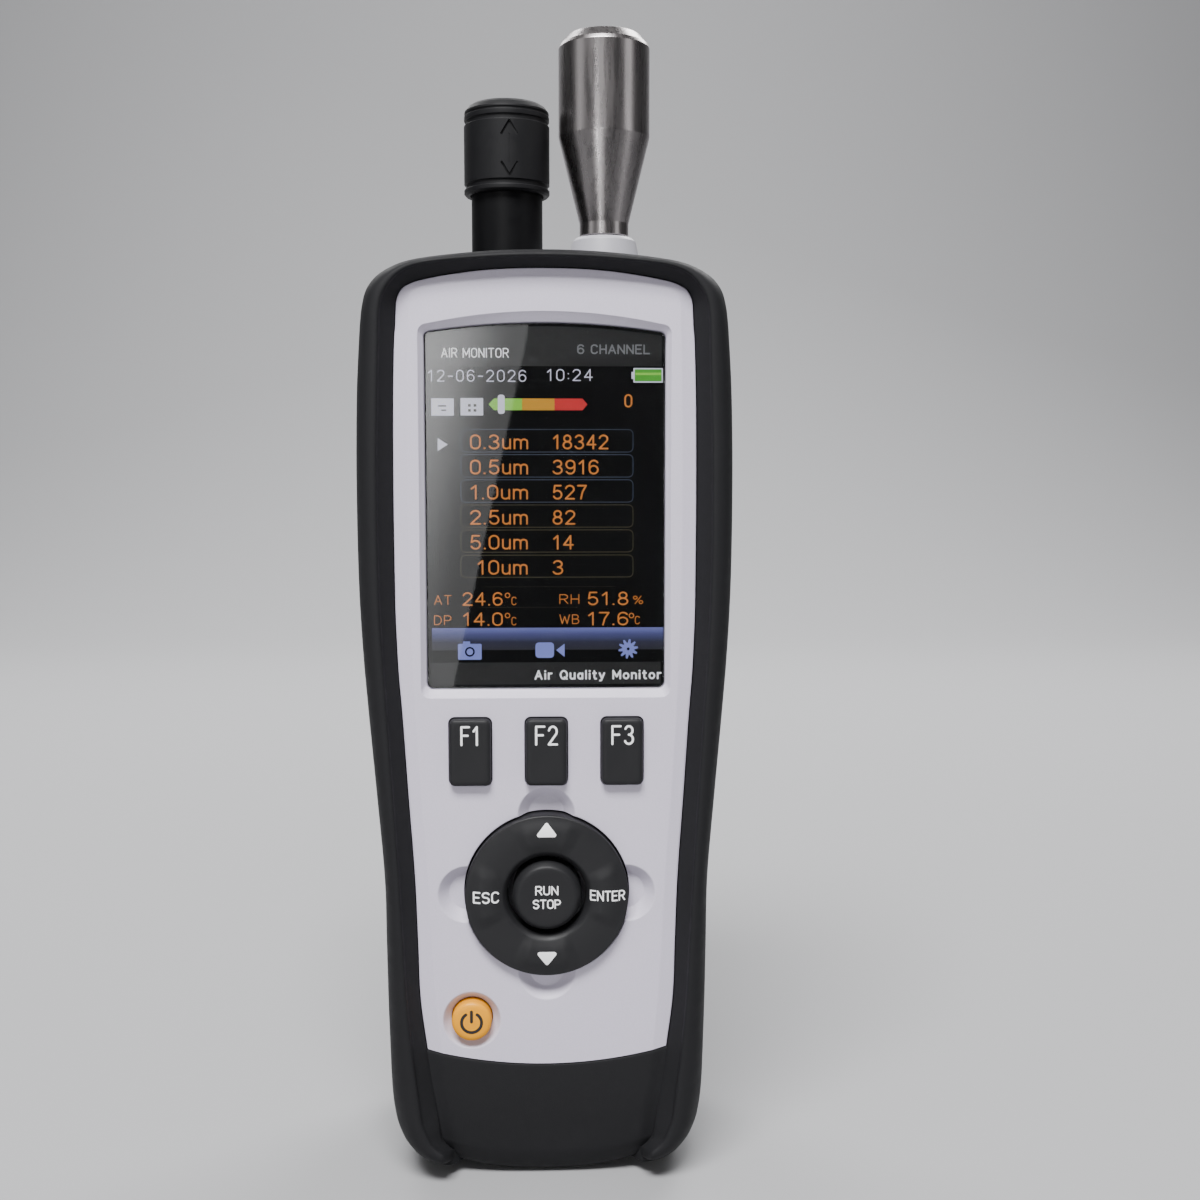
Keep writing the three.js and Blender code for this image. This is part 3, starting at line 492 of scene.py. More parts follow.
M_PANEL = material("panel_plastic", srgb(202, 196, 212), 0.5, grain=(2600, 0.35, 0.05), tone=0.012, fleck=(3800, 0.03))
M_RUBBER = material("bumper_rubber", srgb(28, 28, 30), 0.62, grain=(3000, 0.45, 0.05), tone=0.04, wear=(0.58, 0.78, 0.1), spec=0.18)
M_SHELL = material("rear_plastic", srgb(33, 33, 36), 0.56, grain=(1900, 0.5, 0.07), tone=0.03, wear=(0.58, 0.78, 0.07), spec=0.3)
M_KEY = material("key_plastic", srgb(29, 29, 31), 0.52, grain=(3400, 0.3, 0.03), tone=0.04, spec=0.25)
M_PAD = material("pad_plastic", srgb(28, 28, 30), 0.48, grain=(3400, 0.3, 0.03), tone=0.04, spec=0.3)
M_ORANGE = material("power_amber", srgb(232, 155, 0), 0.42, grain=(3400, 0.25, 0.03), tone=0.03, spec=0.3)
M_INK = material("legend_ink", srgb(251, 251, 252), 0.5, tone=0.01, grain=(4000, 0.2, 0.02))
M_INKBLACK = material("legend_black", srgb(20, 20, 20), 0.5, tone=0.02, grain=(4000, 0.2, 0.02))
M_STEM = material("stem_plastic", srgb(11, 11, 13), 0.46, grain=(2600, 0.3, 0.03), tone=0.05, spec=0.14)
M_GUARD = material("guard_plastic", srgb(20, 20, 22), 0.52, grain=(2400, 0.35, 0.04), tone=0.05, wear=(0.58, 0.78, 0.1), spec=0.2)
M_COLLAR = material("collar_plastic", srgb(166, 165, 172), 0.45, grain=(2600, 0.3, 0.03), tone=0.015)
M_STEEL = material("turned_steel", (0.38, 0.355, 0.358), 0.28, metal=1.0, grain=(1700, 0.028, 0.01), mottle=420, stretch=(1.0, 1.0, 0.07), tone=0.07, rough_var=0.035)
M_SCREW = material("screw_steel", (0.33, 0.33, 0.34), 0.34, metal=1.0, grain=(2400, 0.3, 0.03), tone=0.08)
M_BRASS = material("insert_brass", (0.52, 0.36, 0.14), 0.32, metal=1.0, grain=(1400, 0.3, 0.03), stretch=(1, 8, 1), tone=0.06)
M_BLACKGLOSS = material("bezel_gloss", srgb(18, 18, 19), 0.22, grain=(900, 0.1, 0.01), tone=0.04)
M_FLAP = material("flap_rubber", srgb(27, 27, 29), 0.68, grain=(2600, 0.45, 0.05), tone=0.05, spec=0.28)
M_BOARD = material("circuit_board", srgb(26, 92, 52), 0.45, grain=(700, 0.3, 0.03), tone=0.12, fleck=(500, 0.15))
M_ALU = material("machined_aluminium", (0.42, 0.43, 0.45), 0.36, metal=1.0, grain=(900, 0.3, 0.03), stretch=(1, 10, 1), tone=0.06)
M_SILICONE = material("silicone", srgb(214, 212, 204), 0.5, grain=(1200, 0.2, 0.03), tone=0.03)
M_MAT = material("keypad_silicone", srgb(136, 136, 142), 0.6, grain=(1600, 0.3, 0.04), tone=0.04)
M_FOAM = material("seal_foam", srgb(34, 34, 34), 0.9, grain=(1800, 0.9, 0.15), tone=0.1)
M_SLEEVE = material("battery_sleeve", srgb(44, 82, 142), 0.35, grain=(400, 0.15, 0.03), tone=0.05)
M_FILTER = material("filter_shell", srgb(228, 228, 222), 0.45, grain=(1500, 0.25, 0.03), tone=0.02)
M_GILT = material("gilt_contact", (0.7, 0.5, 0.18), 0.3, metal=1.0, grain=(1500, 0.2, 0.02), tone=0.05)
M_BACKING = material("display_black", (0.0015, 0.0015, 0.002), 0.6, tone=0.02, spec=0.1)


# ------------------------------------------------------------------ rubber bumper: frame that stands proud, and the chin
CU = steps_for(U_A, 2.4, 4)
uA, uF, uB, uC = (arch(half_curve(q, CU, closed_bottom=False)) for q in (U_A, U_F, U_B, U_C))
uA[:, 1] = np.maximum(uA[:, 1], 0)


def bumper_frame():
    n = len(uA)
    low = smooth((26 - uA[:, 1]) / 26.0)                 # deeper rounding where the frame turns under
    y0 = -22.8 + 6.6 * low
    # towards each lower end the frame drops down to the chin
    end = smooth((21.6 - np.abs(uB[:, 0])) / 2.6) * (uB[:, 1] < 9)
    i2 = inset(uA, 2.75, closed=False)
    prof = []
    prof += [(inset(uA, 0.45, False), np.full(n, Y_SPLIT)), (inset(uA, 0.12, False), np.full(n, Y_SPLIT - 0.1)), (uA, np.full(n, Y_SPLIT - 0.42)),
             (uA, np.full(n, -10.5))]
    for t in (0.25, 0.5, 0.75, 1.0):
        prof.append((uA + (uF - uA) * float(smooth(t)), -10.5 + (y0 + 10.5) * t))
    for deg in (12, 24, 36, 48, 58, 67, 75, 82, 88):
        a = math.radians(deg)
        t = 0.80 * (1 - math.cos(a)) ** 0.95
        prof.append((uF + (uB - uF) * t, y0 + (Y_CROWN - y0) * math.sin(a)))
    for t, y in ((0.84, -28.5), (0.90, -28.46), (0.95, -28.32), (0.985, -28.08), (1.0, -27.78)):
        prof.append((uF + (uB - uF) * t, np.full(n, y)))
    for s, y in ((0.06, -27.45), (0.30, -26.8), (0.55, -26.1), (0.80, -25.4), (0.95, -24.98), (1.0, -24.7), (1.0, -24.05)):
        prof.append((uB + (uC - uB) * s, np.full(n, y)))
    prof += [(i2, np.full(n, -24.05)), (i2, np.full(n, Y_SPLIT - 0.15)), (inset(uA, 2.6, False), np.full(n, Y_SPLIT))]
    rows = []
    for ring, y in prof:
        y = np.where(y < -23.9, y + (-23.9 - y) * end, y)
        rows.append(at(ring, y))
    P = np.array(rows)                                   # K x n x 3
    sink = smooth((20.3 - np.abs(uB[:, 0])) / 2.4) * (uB[:, 1] < 9)      # the two ends run in behind the chin
    P[:, :, 1] += 2.6 * sink[None] * (P[:, :, 1] < -12)
    K = len(P)
    V = P.transpose(1, 0, 2).reshape(-1, 3)              # path-major
    F = []
    for i in range(n - 1):
        for k in range(K):
            q = (k + 1) % K
            F.append((i * K + k, (i + 1) * K + k, (i + 1) * K + q, i * K + q))
    F += [tuple(range(K)), tuple((n - 1) * K + k for k in range(K))]
    return make("bumper", V, F)


def width_at(zs, table, z):
    return np.interp(z, zs, table)


cz = np.array([p[1] for p in OUT_C[3:]], float)
cx = np.array([p[0] for p in OUT_C[3:]], float)
cz, cx = cz[:22], cx[:22]


def strip_drop(x, z):
    """How far the border strip of the field falls back towards the frame."""
    c = np.interp(z, cz, cx)
    return 0.42 * smooth((np.abs(x) - (c - 3.1)) / 2.9)


def arc_z(x):
    return 24.7 + 3.3 * (x / 24.8) ** 2


def chin():
    """Rubber chin below the grey field: leans back below its bend, rounds under, and runs back along the base."""
    path = [(-9.0, 0.0), (-11.5, 0.0), (-14.0, 0.0), (-16.6, 0.0), (-19.2, 0.0)]
    for i in range(1, 11):
        a = math.radians(78 * i / 10)
        path.append((-19.2 - 4.6 * math.sin(a), 4.6 * (1 - math.cos(a))))
    y1, z1 = path[-1]
    lean = lambda z: -25.2 + 0.082 * 0.5 * ((16.6 - z) + np.sqrt((16.6 - z) ** 2 + 9.0)) * 1.0
    zs = [5.0, 6.2, 7.6, 9.2, 11, 12.6, 13.8, 15, 16, 17, 18, 19.2, 20.6]
    path += [(float(lean(z)), z) for z in zs]
    rows_out, rows_in, nx = [], [], 64
    u = np.linspace(-1, 1, nx + 1)
    path = np.array(path)
    for (y, z) in path:
        X = np.interp(max(z, 6), cz, cx) + 0.9 if z > 2.0 else 21.0
        if z <= 9:
            X = 21.0 + (np.interp(9, cz, cx) + 0.9 - 21.0) * smooth(z / 9)
        x = u * X
        drop = strip_drop(x, max(z, 8)) * smooth(z / 10)
        lift = 2.8 * (np.abs(x) / 19.2) ** 2.6 * float(1 - smooth((z - 3.0) / 8.0)) * float(smooth((-y - 9.0) / 10.0))
        rows_out.append(np.stack([x, np.full_like(x, y) + drop, z + np.minimum(lift, 3.4)], 1))
    for t in (0.25, 0.5, 0.75, 0.9, 0.97, 1.0):
        zt0 = 20.6
        X = np.interp(24.0 + 3 * t, cz, cx) + 0.9
        x = u * X
        z = zt0 + (arc_z(x) - 0.12 - zt0) * t
        y = lean(z) + strip_drop(x, z) + (0.18 if t == 1.0 else 0.04 if t == 0.97 else 0)
        rows_out.append(np.stack([x, y, z], 1))
    R = np.array(rows_out)
    inner = R.copy()
    # thickness: upwards along the base, backwards on the face
    for k in range(len(R)):
        z = R[k, :, 2]
        w = smooth((z - 0.0) / 6.0)
        inner[k, :, 1] = np.maximum(R[k, :, 1] + 0.0 + 1.3 * w + 1.6 * (1 - w) * (k >= 5), R[k, :, 1])
        inner[k, :, 2] = R[k, :, 2] + 2.4 * (1 - w)
    nr, nc = R.shape[0], R.shape[1]
    V = np.vstack([R.reshape(-1, 3), inner.reshape(-1, 3)])
    F, o2 = [], nr * nc
    for k in range(nr - 1):
        for i in range(nc - 1):
            a, b, c, d = k * nc + i, k * nc + i + 1, (k + 1) * nc + i + 1, (k + 1) * nc + i
            F.append((a, b, c, d)); F.append((o2 + d, o2 + c, o2 + b, o2 + a))
    for i in range(nc - 1):
        F.append((i + 1, i, o2 + i, o2 + i + 1))
        e = (nr - 1) * nc
        F.append((e + i, e + i + 1, o2 + e + i + 1, o2 + e + i))
    for k in range(nr - 1):
        F.append((k * nc, (k + 1) * nc, o2 + (k + 1) * nc, o2 + k * nc))
        e = nc - 1
        F.append(((k + 1) * nc + e, k * nc + e, o2 + k * nc + e, o2 + (k + 1) * nc + e))
    return make("chin", V, F)


bumper = bumper_frame()
join(bumper, chin())
piece(bumper, "housing", M_RUBBER, ["bumper_overmould"], angle=45)

# ------------------------------------------------------------------ grey front panel
CC = steps_for(OUT_C, 2.4, 4)
rC = mirrored(half_curve(OUT_C, CC))
rD = mirrored(half_curve(OUT_D, CC))


def window_ring(hw, top, rise, bottom, r, k=6):
    pts = []
    def corner(cx_, cz_, a0):
        for i in range(k + 1):
            t = math.radians(a0 + 90 * i / k)
            pts.append((cx_ + r * math.cos(t), cz_ + r * math.sin(t)))
    corner(-hw + r, bottom + r, 180)
    corner(hw - r, bottom + r, 270)
    corner(hw - r, top - r, 0)
    for i in range(1, 24):
        x = (hw - r) * (1 - i / 12)
        pts.append((x, top + rise * (1 - (x / (hw - r)) ** 2)))
    corner(-hw + r, top - r, 90)
    return np.array(pts)


def blend_rings(name, stack):
    """Cutter through rings of equal count, closed by n-gons."""
    return loft(name, stack, cap="ngon")


def hole_tool(name, ring_fn, y_face, y_end, flare):
    """Cutter whose mouth flares out to round the edge of the hole it makes."""
    rings = [at(ring_fn(flare + 0.02), y_face - 1.5), at(ring_fn(flare + 0.02), y_face - 0.004)]
    for i in range(1, 7):
        a = math.pi / 2 * i / 6
        rings.append(at(ring_fn(flare * (1 - math.sin(a))), y_face + flare * (1 - math.cos(a))))
    rings.append(at(ring_fn(0), y_end))
    return loft(name, rings, cap="ngon")


def circle_ring(cx_, cz_, r, n=128):
    t = np.arange(n) * 2 * math.pi / n
    return np.stack([cx_ + r * np.cos(t), cz_ + r * np.sin(t)], 1)


def dish_tool(name, x, z, r, depth, y_face, run=2.2):
    """Cutter for a scoop: rounded rim, a steep slope of width `run`, then a level floor."""
    prof = [(0, y_face - 1.5), (r + 0.35, y_face - 1.5), (r + 0.35, y_face - 0.004), (r + 0.16, y_face + 0.02), (r + 0.04, y_face + 0.09)]
    K = 16
    for i in range(1, K + 1):
        t = i / K
        prof.append((r - run * t, y_face + 0.09 + (depth - 0.09) * (1 - (1 - t) ** 1.22)))
    prof.append((0, y_face + depth))
    return spin(name, prof, 128, "y", x, z)


def front_panel():
    rings = [at(inset(rC, 0.16), -22.35)]      # leaves room for the rocking ring's flange
    rings.append(at(inset(rC, 0.16), -24.52))
    c0 = inset(rC, 0.16)
    for t, y in ((0.02, -24.66), (0.07, -24.74), (0.18, -24.79), (0.36, -24.86), (0.56, -24.95), (0.74, -25.04), (0.87, -25.12), (0.96, -25.175), (1.04, -25.2), (1.12, -25.2), (1.25, -25.2)):
        rings.append(at(c0 + (rD - c0) * t, y))
    o = loft("front_panel", rings)
    # below the arc the chin takes over
    x = np.linspace(-30, 30, 61)
    top = np.stack([x, arc_z(x)], 1)
    tool = np.vstack([top, [(30, -10), (-30, -10)]])
    tool[:61, 1] += 0.12
    cut(o, loft("t", [at(tool[::-1], -30), at(tool[::-1], -20)], cap="ngon"))
    # window
    E = lambda d: window_ring(25.1 + d, 175.6 + d, 2.5, 101.2 - d, 1.8 + d)
    G = lambda d: window_ring(23.93 + d, 174.3 + d, 1.7, 102.95 - d, 1.2 + d)
    st = [at(E(0.2), Y_PANEL - 1.5), at(E(0.2), Y_PANEL - 0.004)]
    st += [at(E(0.08), Y_PANEL + 0.025), at(E(0.0), Y_PANEL + 0.09)]
    e, g = E(-0.03), G(0.32)
    st += [at(e, Y_PANEL + 0.14)]
    st += [at(e + (g - e) * 0.5, -24.48), at(g, -23.97), at(G(0.24), -23.87), at(G(0.22), -23.75), at(G(0.22), -22.9)]
    cut(o, blend_rings("t", st))
    for k in (-1, 0, 1):
        cut(o, hole_tool("t", lambda d, k=k: rrect(k * KEY_PITCH, KEY_Z, KEY_W + 0.36 + 2 * d, KEY_H + 0.36 + 2 * d, KEY_R + 0.2 + d), Y_PANEL, -20, 0.14))
    for dx, dz in ((1, 0), (-1, 0), (0, 1), (0, -1)):
        cut(o, dish_tool("t", dx * 16.35, PAD_Z + dz * 16.35, 5.75, 2.15, Y_PANEL))
    cut(o, hole_tool("t", lambda d: circle_ring(0, PAD_Z, PAD_HOLE + d), Y_PANEL, -20, 0.25))
    cut(o, dish_tool("t", POW_X, POW_Z, 5.85, 2.05, Y_PANEL, run=1.7))
    cut(o, hole_tool("t", lambda d: circle_ring(POW_X, POW_Z, POW_R + 0.2 + d, 72), Y_PANEL + 1.95, -20, 0.08))
    return o


panel = front_panel()
level(piece(panel, "housing", M_PANEL, ["front_cover"], angle=40), 40)

# ------------------------------------------------------------------ legends drawn with round-ended strokes
def arc(cx_, cy_, rx, ry, a0, a1, k=10):
    return [(cx_ + rx * math.cos(math.radians(a0 + (a1 - a0) * i / k)), cy_ + ry * math.sin(math.radians(a0 + (a1 - a0) * i / k))) for i in range(k + 1)]


GLYPH = {  # unit: cap height 1, own widths
    "F": (0.56, [[(0, 0), (0, 1), (0.56, 1)], [(0, 0.52), (0.46, 0.52)]]),
    "E": (0.52, [[(0.52, 0), (0, 0), (0, 1), (0.52, 1)], [(0, 0.52), (0.44, 0.52)]]),
    "0": (0.54, [arc(0.27, 0.70, 0.27, 0.30, 0, 180, 12) + arc(0.27, 0.30, 0.27, 0.30, 180, 360, 12) + [(0.54, 0.70)]]),
    "1": (0.42, [[(0.04, 0.76), (0.28, 1), (0.28, 0)]]),
    "2": (0.56, [arc(0.28, 0.73, 0.27, 0.27, 168, -32, 12) + [(0.0, 0.0), (0.56, 0.0)]]),
    "3": (0.56, [arc(0.27, 0.76, 0.25, 0.24, 158, -90, 12), arc(0.27, 0.26, 0.28, 0.26, 90, -158, 14)]),
    "4": (0.58, [[(0.42, 0), (0.42, 1), (0.0, 0.3), (0.58, 0.3)]]),
    "5": (0.56, [[(0.5, 1), (0.1, 1), (0.04, 0.5)] + arc(0.28, 0.31, 0.27, 0.31, 128, -155, 14)]),
    "6": (0.56, [arc(0.29, 0.68, 0.28, 0.32, 32, 180, 10) + arc(0.28, 0.30, 0.27, 0.30, 180, 520, 18)]),
    "7": (0.54, [[(0, 1), (0.54, 1), (0.3, 0.5), (0.2, 0)]]),
    "8": (0.56, [arc(0.28, 0.76, 0.22, 0.24, 0, 358, 18), arc(0.28, 0.26, 0.27, 0.26, 0, 358, 20)]),
    "9": (0.56, [arc(0.27, 0.32, 0.28, 0.32, 212, 360, 10) + arc(0.28, 0.70, 0.27, 0.30, 0, 340, 18)]),
    ".": (0.04, [[(0, 0.02), (0.03, 0.02)]]), ":": (0.04, [[(0, 0.18), (0.03, 0.18)], [(0, 0.62), (0.03, 0.62)]]), " ": (0.22, []),
    "-": (0.36, [[(0, 0.46), (0.36, 0.46)]]),
    "%": (0.72, [arc(0.15, 0.79, 0.14, 0.2, 0, 350, 12), arc(0.57, 0.21, 0.14, 0.2, 0, 350, 12), [(0.58, 1), (0.14, 0)]]),
    "S": (0.56, [arc(0.28, 0.76, 0.28, 0.24, 25, 180, 8) + arc(0.28, 0.76, 0.28, 0.24, 180, 262, 4) + arc(0.28, 0.26, 0.28, 0.26, 82, 0, 4) + arc(0.28, 0.26, 0.28, 0.26, 0, -155, 8)]),
    "C": (0.56, [arc(0.28, 0.72, 0.28, 0.28, 25, 180, 8) + arc(0.28, 0.28, 0.28, 0.28, 180, 335, 8)]),
    "N": (0.58, [[(0, 0), (0, 1), (0.58, 0), (0.58, 1)]]),
    "T": (0.56, [[(0, 1), (0.56, 1)], [(0.28, 1), (0.28, 0)]]),
    "R": (0.56, [[(0, 0), (0, 1), (0.3, 1)] + arc(0.3, 0.74, 0.26, 0.26, 90, -90, 8) + [(0.04, 0.48)], [(0.3, 0.46), (0.57, 0)]]),
    "U": (0.56, [[(0, 1), (0, 0.28)] + arc(0.28, 0.28, 0.28, 0.28, 180, 360, 10) + [(0.56, 1)]]),
    "O": (0.58, [arc(0.29, 0.71, 0.29, 0.29, 0, 180, 10) + arc(0.29, 0.29, 0.29, 0.29, 180, 360, 10) + [(0.58, 0.68)]]),
    "P": (0.56, [[(0, 0), (0, 1), (0.3, 1)] + arc(0.3, 0.73, 0.26, 0.27, 90, -90, 8) + [(0.04, 0.46)]]),
    "A": (0.62, [[(0, 0), (0.31, 1), (0.62, 0)], [(0.12, 0.34), (0.5, 0.34)]]),
    "B": (0.56, [[(0, 0), (0, 1), (0.3, 1)] + arc(0.3, 0.76, 0.21, 0.24, 90, -90, 8) + [(0.04, 0.52)], [(0.3, 0.5)] + arc(0.3, 0.26, 0.26, 0.26, 80, -90, 8) + [(0.04, 0.0)]]),
    "D": (0.58, [[(0, 0), (0, 1), (0.22, 1)] + arc(0.22, 0.5, 0.36, 0.5, 80, -80, 12) + [(0.22, 0), (0.04, 0)]]),
    "H": (0.56, [[(0, 0), (0, 1)], [(0.56, 0), (0.56, 1)], [(0, 0.5), (0.56, 0.5)]]),
    "W": (0.84, [[(0, 1), (0.21, 0), (0.42, 0.82), (0.63, 0), (0.84, 1)]]),
    "M": (0.7, [[(0, 0), (0, 1), (0.35, 0.25), (0.7, 1), (0.7, 0)]]),
    "I": (0.02, [[(0.01, 0), (0.01, 1)]]), "L": (0.5, [[(0, 1), (0, 0), (0.5, 0)]]),
    "Q": (0.64, [arc(0.32, 0.5, 0.32, 0.5, 0, 355, 20), [(0.38, 0.2), (0.62, -0.02)]]),
    "u": (0.42, [[(0, 0.7), (0, 0.2)] + arc(0.2, 0.2, 0.2, 0.2, 190, 330, 8), [(0.42, 0.7), (0.42, 0)]]),
    "m": (0.76, [[(0, 0), (0, 0.7)], arc(0.19, 0.5, 0.19, 0.2, 180, 0, 8) + [(0.38, 0)], arc(0.57, 0.5, 0.19, 0.2, 180, 0, 8) + [(0.76, 0)]]),
    "i": (0.02, [[(0.01, 0), (0.01, 0.66)], [(0.0, 0.97), (0.02, 0.97)]]), "l": (0.02, [[(0.01, 0), (0.01, 1)]]),
    "r": (0.28, [[(0, 0), (0, 0.7)], arc(0.24, 0.42, 0.24, 0.27, 170, 80, 6)]),
    "a": (0.44, [arc(0.21, 0.34, 0.21, 0.34, 20, 340, 14), [(0.43, 0.68), (0.43, 0)]]),
    "t": (0.3, [[(0.12, 0.95), (0.12, 0.16), (0.2, 0.0), (0.3, 0.0)], [(0, 0.68), (0.28, 0.68)]]),
    "y": (0.46, [[(0, 0.68), (0.23, 0.02)], [(0.46, 0.68), (0.17, -0.2), (0.04, -0.24)]]),
    "o": (0.48, [arc(0.24, 0.34, 0.24, 0.34, 0, 352, 18)]),
    "n": (0.42, [[(0, 0), (0, 0.7)], arc(0.21, 0.46, 0.21, 0.23, 180, 0, 8) + [(0.42, 0)]]),
}


def ribbon(path, w, k=8):
    """Outline of a stroke with round ends and joints."""
    p = np.array(path, float)
    keep = [0] + [i for i in range(1, len(p)) if np.linalg.norm(p[i] - p[i - 1]) > 1e-6]
    p = p[keep]
    h = w / 2
    left, right = [], []
    for i in range(len(p)):
        if i == 0:
            t = p[1] - p[0]
        elif i == len(p) - 1:
            t = p[-1] - p[-2]
        else:
            a, b = p[i] - p[i - 1], p[i + 1] - p[i]
            a, b = a / np.linalg.norm(a), b / np.linalg.norm(b)
            t = a + b
            if np.linalg.norm(t) < 1e-6:
                t = a
        t = t / np.linalg.norm(t)
        nrm = np.array([-t[1], t[0]])
        s = 1.0
        if 0 < i < len(p) - 1:
            c = float(np.dot(t, a))
            s = 1 / max(c, 0.42)
        left.append(p[i] + nrm * h * s); right.append(p[i] - nrm * h * s)
    cap = lambda c, a0: [(c[0] + h * math.cos(a0 + math.pi * i / k), c[1] + h * math.sin(a0 + math.pi * i / k)) for i in range(1, k)]
    t0, t1 = p[1] - p[0], p[-1] - p[-2]
    a_end = math.atan2(t1[1], t1[0]) - math.pi / 2
    a_start = math.atan2(t0[1], t0[0]) + math.pi / 2
    return [tuple(q) for q in right] + cap(p[-1], a_end) + [tuple(q) for q in left[::-1]] + cap(p[0], a_start)


def split_sharp(path, limit=48.0):
    """Breaks a stroke at its sharp corners, so that each corner is a round joint."""
    out, run = [], [path[0]]
    for i in range(1, len(path)):
        run.append(path[i])
        if i + 1 < len(path):
            a, b = np.subtract(path[i], path[i - 1]), np.subtract(path[i + 1], path[i])
            la, lb = np.linalg.norm(a), np.linalg.norm(b)
            if la > 1e-6 and lb > 1e-6 and math.degrees(math.acos(max(-1, min(1, float(a @ b) / la / lb)))) > limit:
                out.append(run); run = [path[i]]
    return out + [run]


def word_groups(word, x0, foot, height, stroke, gap=0.24, width=None, align="CENTER"):
    """Stroke outlines of a word, one group for each letter."""
    total = sum(GLYPH[c][0] for c in word) + gap * (len(word) - 1)
    sx = (width - stroke) / total if width else (height - stroke)
    sy = height - stroke
    x = {"CENTER": -total / 2 * sx, "LEFT": stroke / 2, "RIGHT": -total * sx - stroke / 2}[align]
    groups = []
    for c in word:
        w, strokes = GLYPH[c]
        groups.append([ribbon(part, stroke) for q in strokes for part in split_sharp([(x0 + x + a * sx, foot + stroke / 2 + b * sy) for a, b in q])])
        x += (w + gap) * sx
    return [g for g in groups if g]


def lettering(name, word, cx_, foot, height, stroke, y, body, mat, gap=0.24, width=None, surface=None, align="CENTER", t=0.03):
    return decal(name, word_groups(word, cx_, foot, height, stroke, gap, width, align), y, body, mat, surface, t, grouped=True)


def slab(name, poly, y, t):
    poly = np.asarray(poly, float)
    area = 0.5 * np.sum(poly[:, 0] * np.roll(poly[:, 1], -1) - np.roll(poly[:, 0], -1) * poly[:, 1])
    if area < 0:
        poly = poly[::-1]
    n = len(poly)
    V = [(x, y, z) for x, z in poly] + [(x, y + t, z) for x, z in poly]
    F = [tuple(range(n)), tuple(range(2 * n - 1, n - 1, -1))] + [(i, n + i, n + (i + 1) % n, (i + 1) % n) for i in range(n)]
    return make(name, V, F, weld=1e-9)


def decal(name, polys, y, body, mat, surface=None, t=0.03, grouped=False):
    """Ink laid on a face; with surface(x, z) it follows a curved face. Strokes that cross are joined into one outline."""
    V, F = [], []
    for group in (polys if grouped else [polys]):
        part = slab("t", group[0], y, t * 2)
        for extra in group[1:]:
            join(part, slab("t", extra, y, t * 2))
        o0 = len(V)
        V += [tuple(c / MM for c in v.co) for v in part.data.vertices]
        F += [tuple(i + o0 for i in f.vertices) for f in part.data.polygons]
        bpy.data.objects.remove(part)
    o = make(name, V, F, weld=1e-9)
    o.data.materials.append(mat)
    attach(o, body)
    if surface is not None:
        bm = bmesh.new(); bm.from_mesh(o.data)
        bmesh.ops.triangulate(bm, faces=bm.faces)
        for _ in range(2):
            bmesh.ops.subdivide_edges(bm, edges=[e for e in bm.edges if e.calc_length() > 0.0006], cuts=1, use_grid_fill=False)
            bmesh.ops.triangulate(bm, faces=bm.faces)
        for v in bm.verts:
            front = v.co.y < (y + t) * MM
            s = surface(v.co.x / MM, v.co.z / MM)
            v.co.y = (s - t if front else s + t * 0.6) * MM
        bm.to_mesh(o.data); bm.free()
    return o


# ------------------------------------------------------------------ display
glass_mat = bpy.data.materials.new("window_glass")
glass_mat.use_nodes = True
gb = glass_mat.node_tree.nodes["Principled BSDF"]
gb.inputs["Base Color"].default_value = (0.93, 0.94, 0.95, 1)
gb.inputs["Roughness"].default_value = 0.015
gb.inputs["IOR"].default_value = 1.49
gb.inputs["Transmission Weight"].default_value = 1.0
gn_ = glass_mat.node_tree.nodes.new("ShaderNodeTexNoise"); gn_.inputs["Scale"].default_value = 90
gr_ = glass_mat.node_tree.nodes.new("ShaderNodeMapRange"); gr_.inputs[3].default_value = 0.008; gr_.inputs[4].default_value = 0.022
glass_mat.node_tree.links.new(gn_.outputs["Fac"], gr_.inputs[0]); glass_mat.node_tree.links.new(gr_.outputs[0], gb.inputs["Roughness"])
G = lambda d: window_ring(23.93 + d, 174.3 + d, 1.7, 102.95 - d, 1.2 + d)
window = loft("display_window_glass", [at(G(-0.25), -23.12), at(G(-0.02), -23.2), at(G(-0.02), -23.7), at(G(-0.1), -23.81), at(G(-0.25), -23.85)], cap="ngon")
piece(window, "housing", glass_mat, ["display_window"], angle=30)
backing = loft("display_backing", [at(G(0.1), -23.02), at(G(0.1), -22.93)], cap="ngon")
piece(backing, "housing", M_BACKING)


def lit(name, colour, strength=1.0):
    m = bpy.data.materials.new(name)
    m.use_nodes = True
    nt = m.node_tree
    b = nt.nodes["Principled BSDF"]
    b.inputs["Base Color"].default_value = (*[c * 0.4 for c in colour], 1)
    b.inputs["Roughness"].default_value = 0.5
    b.inputs["Emission Color"].default_value = (*colour, 1)
    b.inputs["Emission Strength"].default_value = strength
    return m


L_ORANGE = lit("lcd_orange", srgb(214, 126, 40), 0.75)
L_WHITE = lit("lcd_white", srgb(232, 232, 235), 1.1)
L_GREY = lit("lcd_grey", srgb(120, 120, 124), 0.6)
L_PALE = lit("lcd_pale", srgb(200, 200, 216), 0.95)
L_GREEN = lit("lcd_green", srgb(70, 160, 40), 0.8)
L_LIME = lit("lcd_lime", srgb(130, 200, 60), 0.8)
L_AMBER = lit("lcd_amber", srgb(196, 140, 20), 0.8)
L_RED = lit("lcd_red", srgb(196, 32, 34), 0.8)
L_BLUE = lit("lcd_blue", srgb(120, 130, 205), 0.8)
L_LINEB = lit("lcd_line_blue", srgb(66, 78, 100), 0.5)
L_LINEO = lit("lcd_line_olive", srgb(74, 70, 44), 0.5)
L_STRIP = lit("window_strip", srgb(22, 22, 22), 0.6)
Y_IMG = -23.06          # the picture lies just behind the glass, in front of the black backing

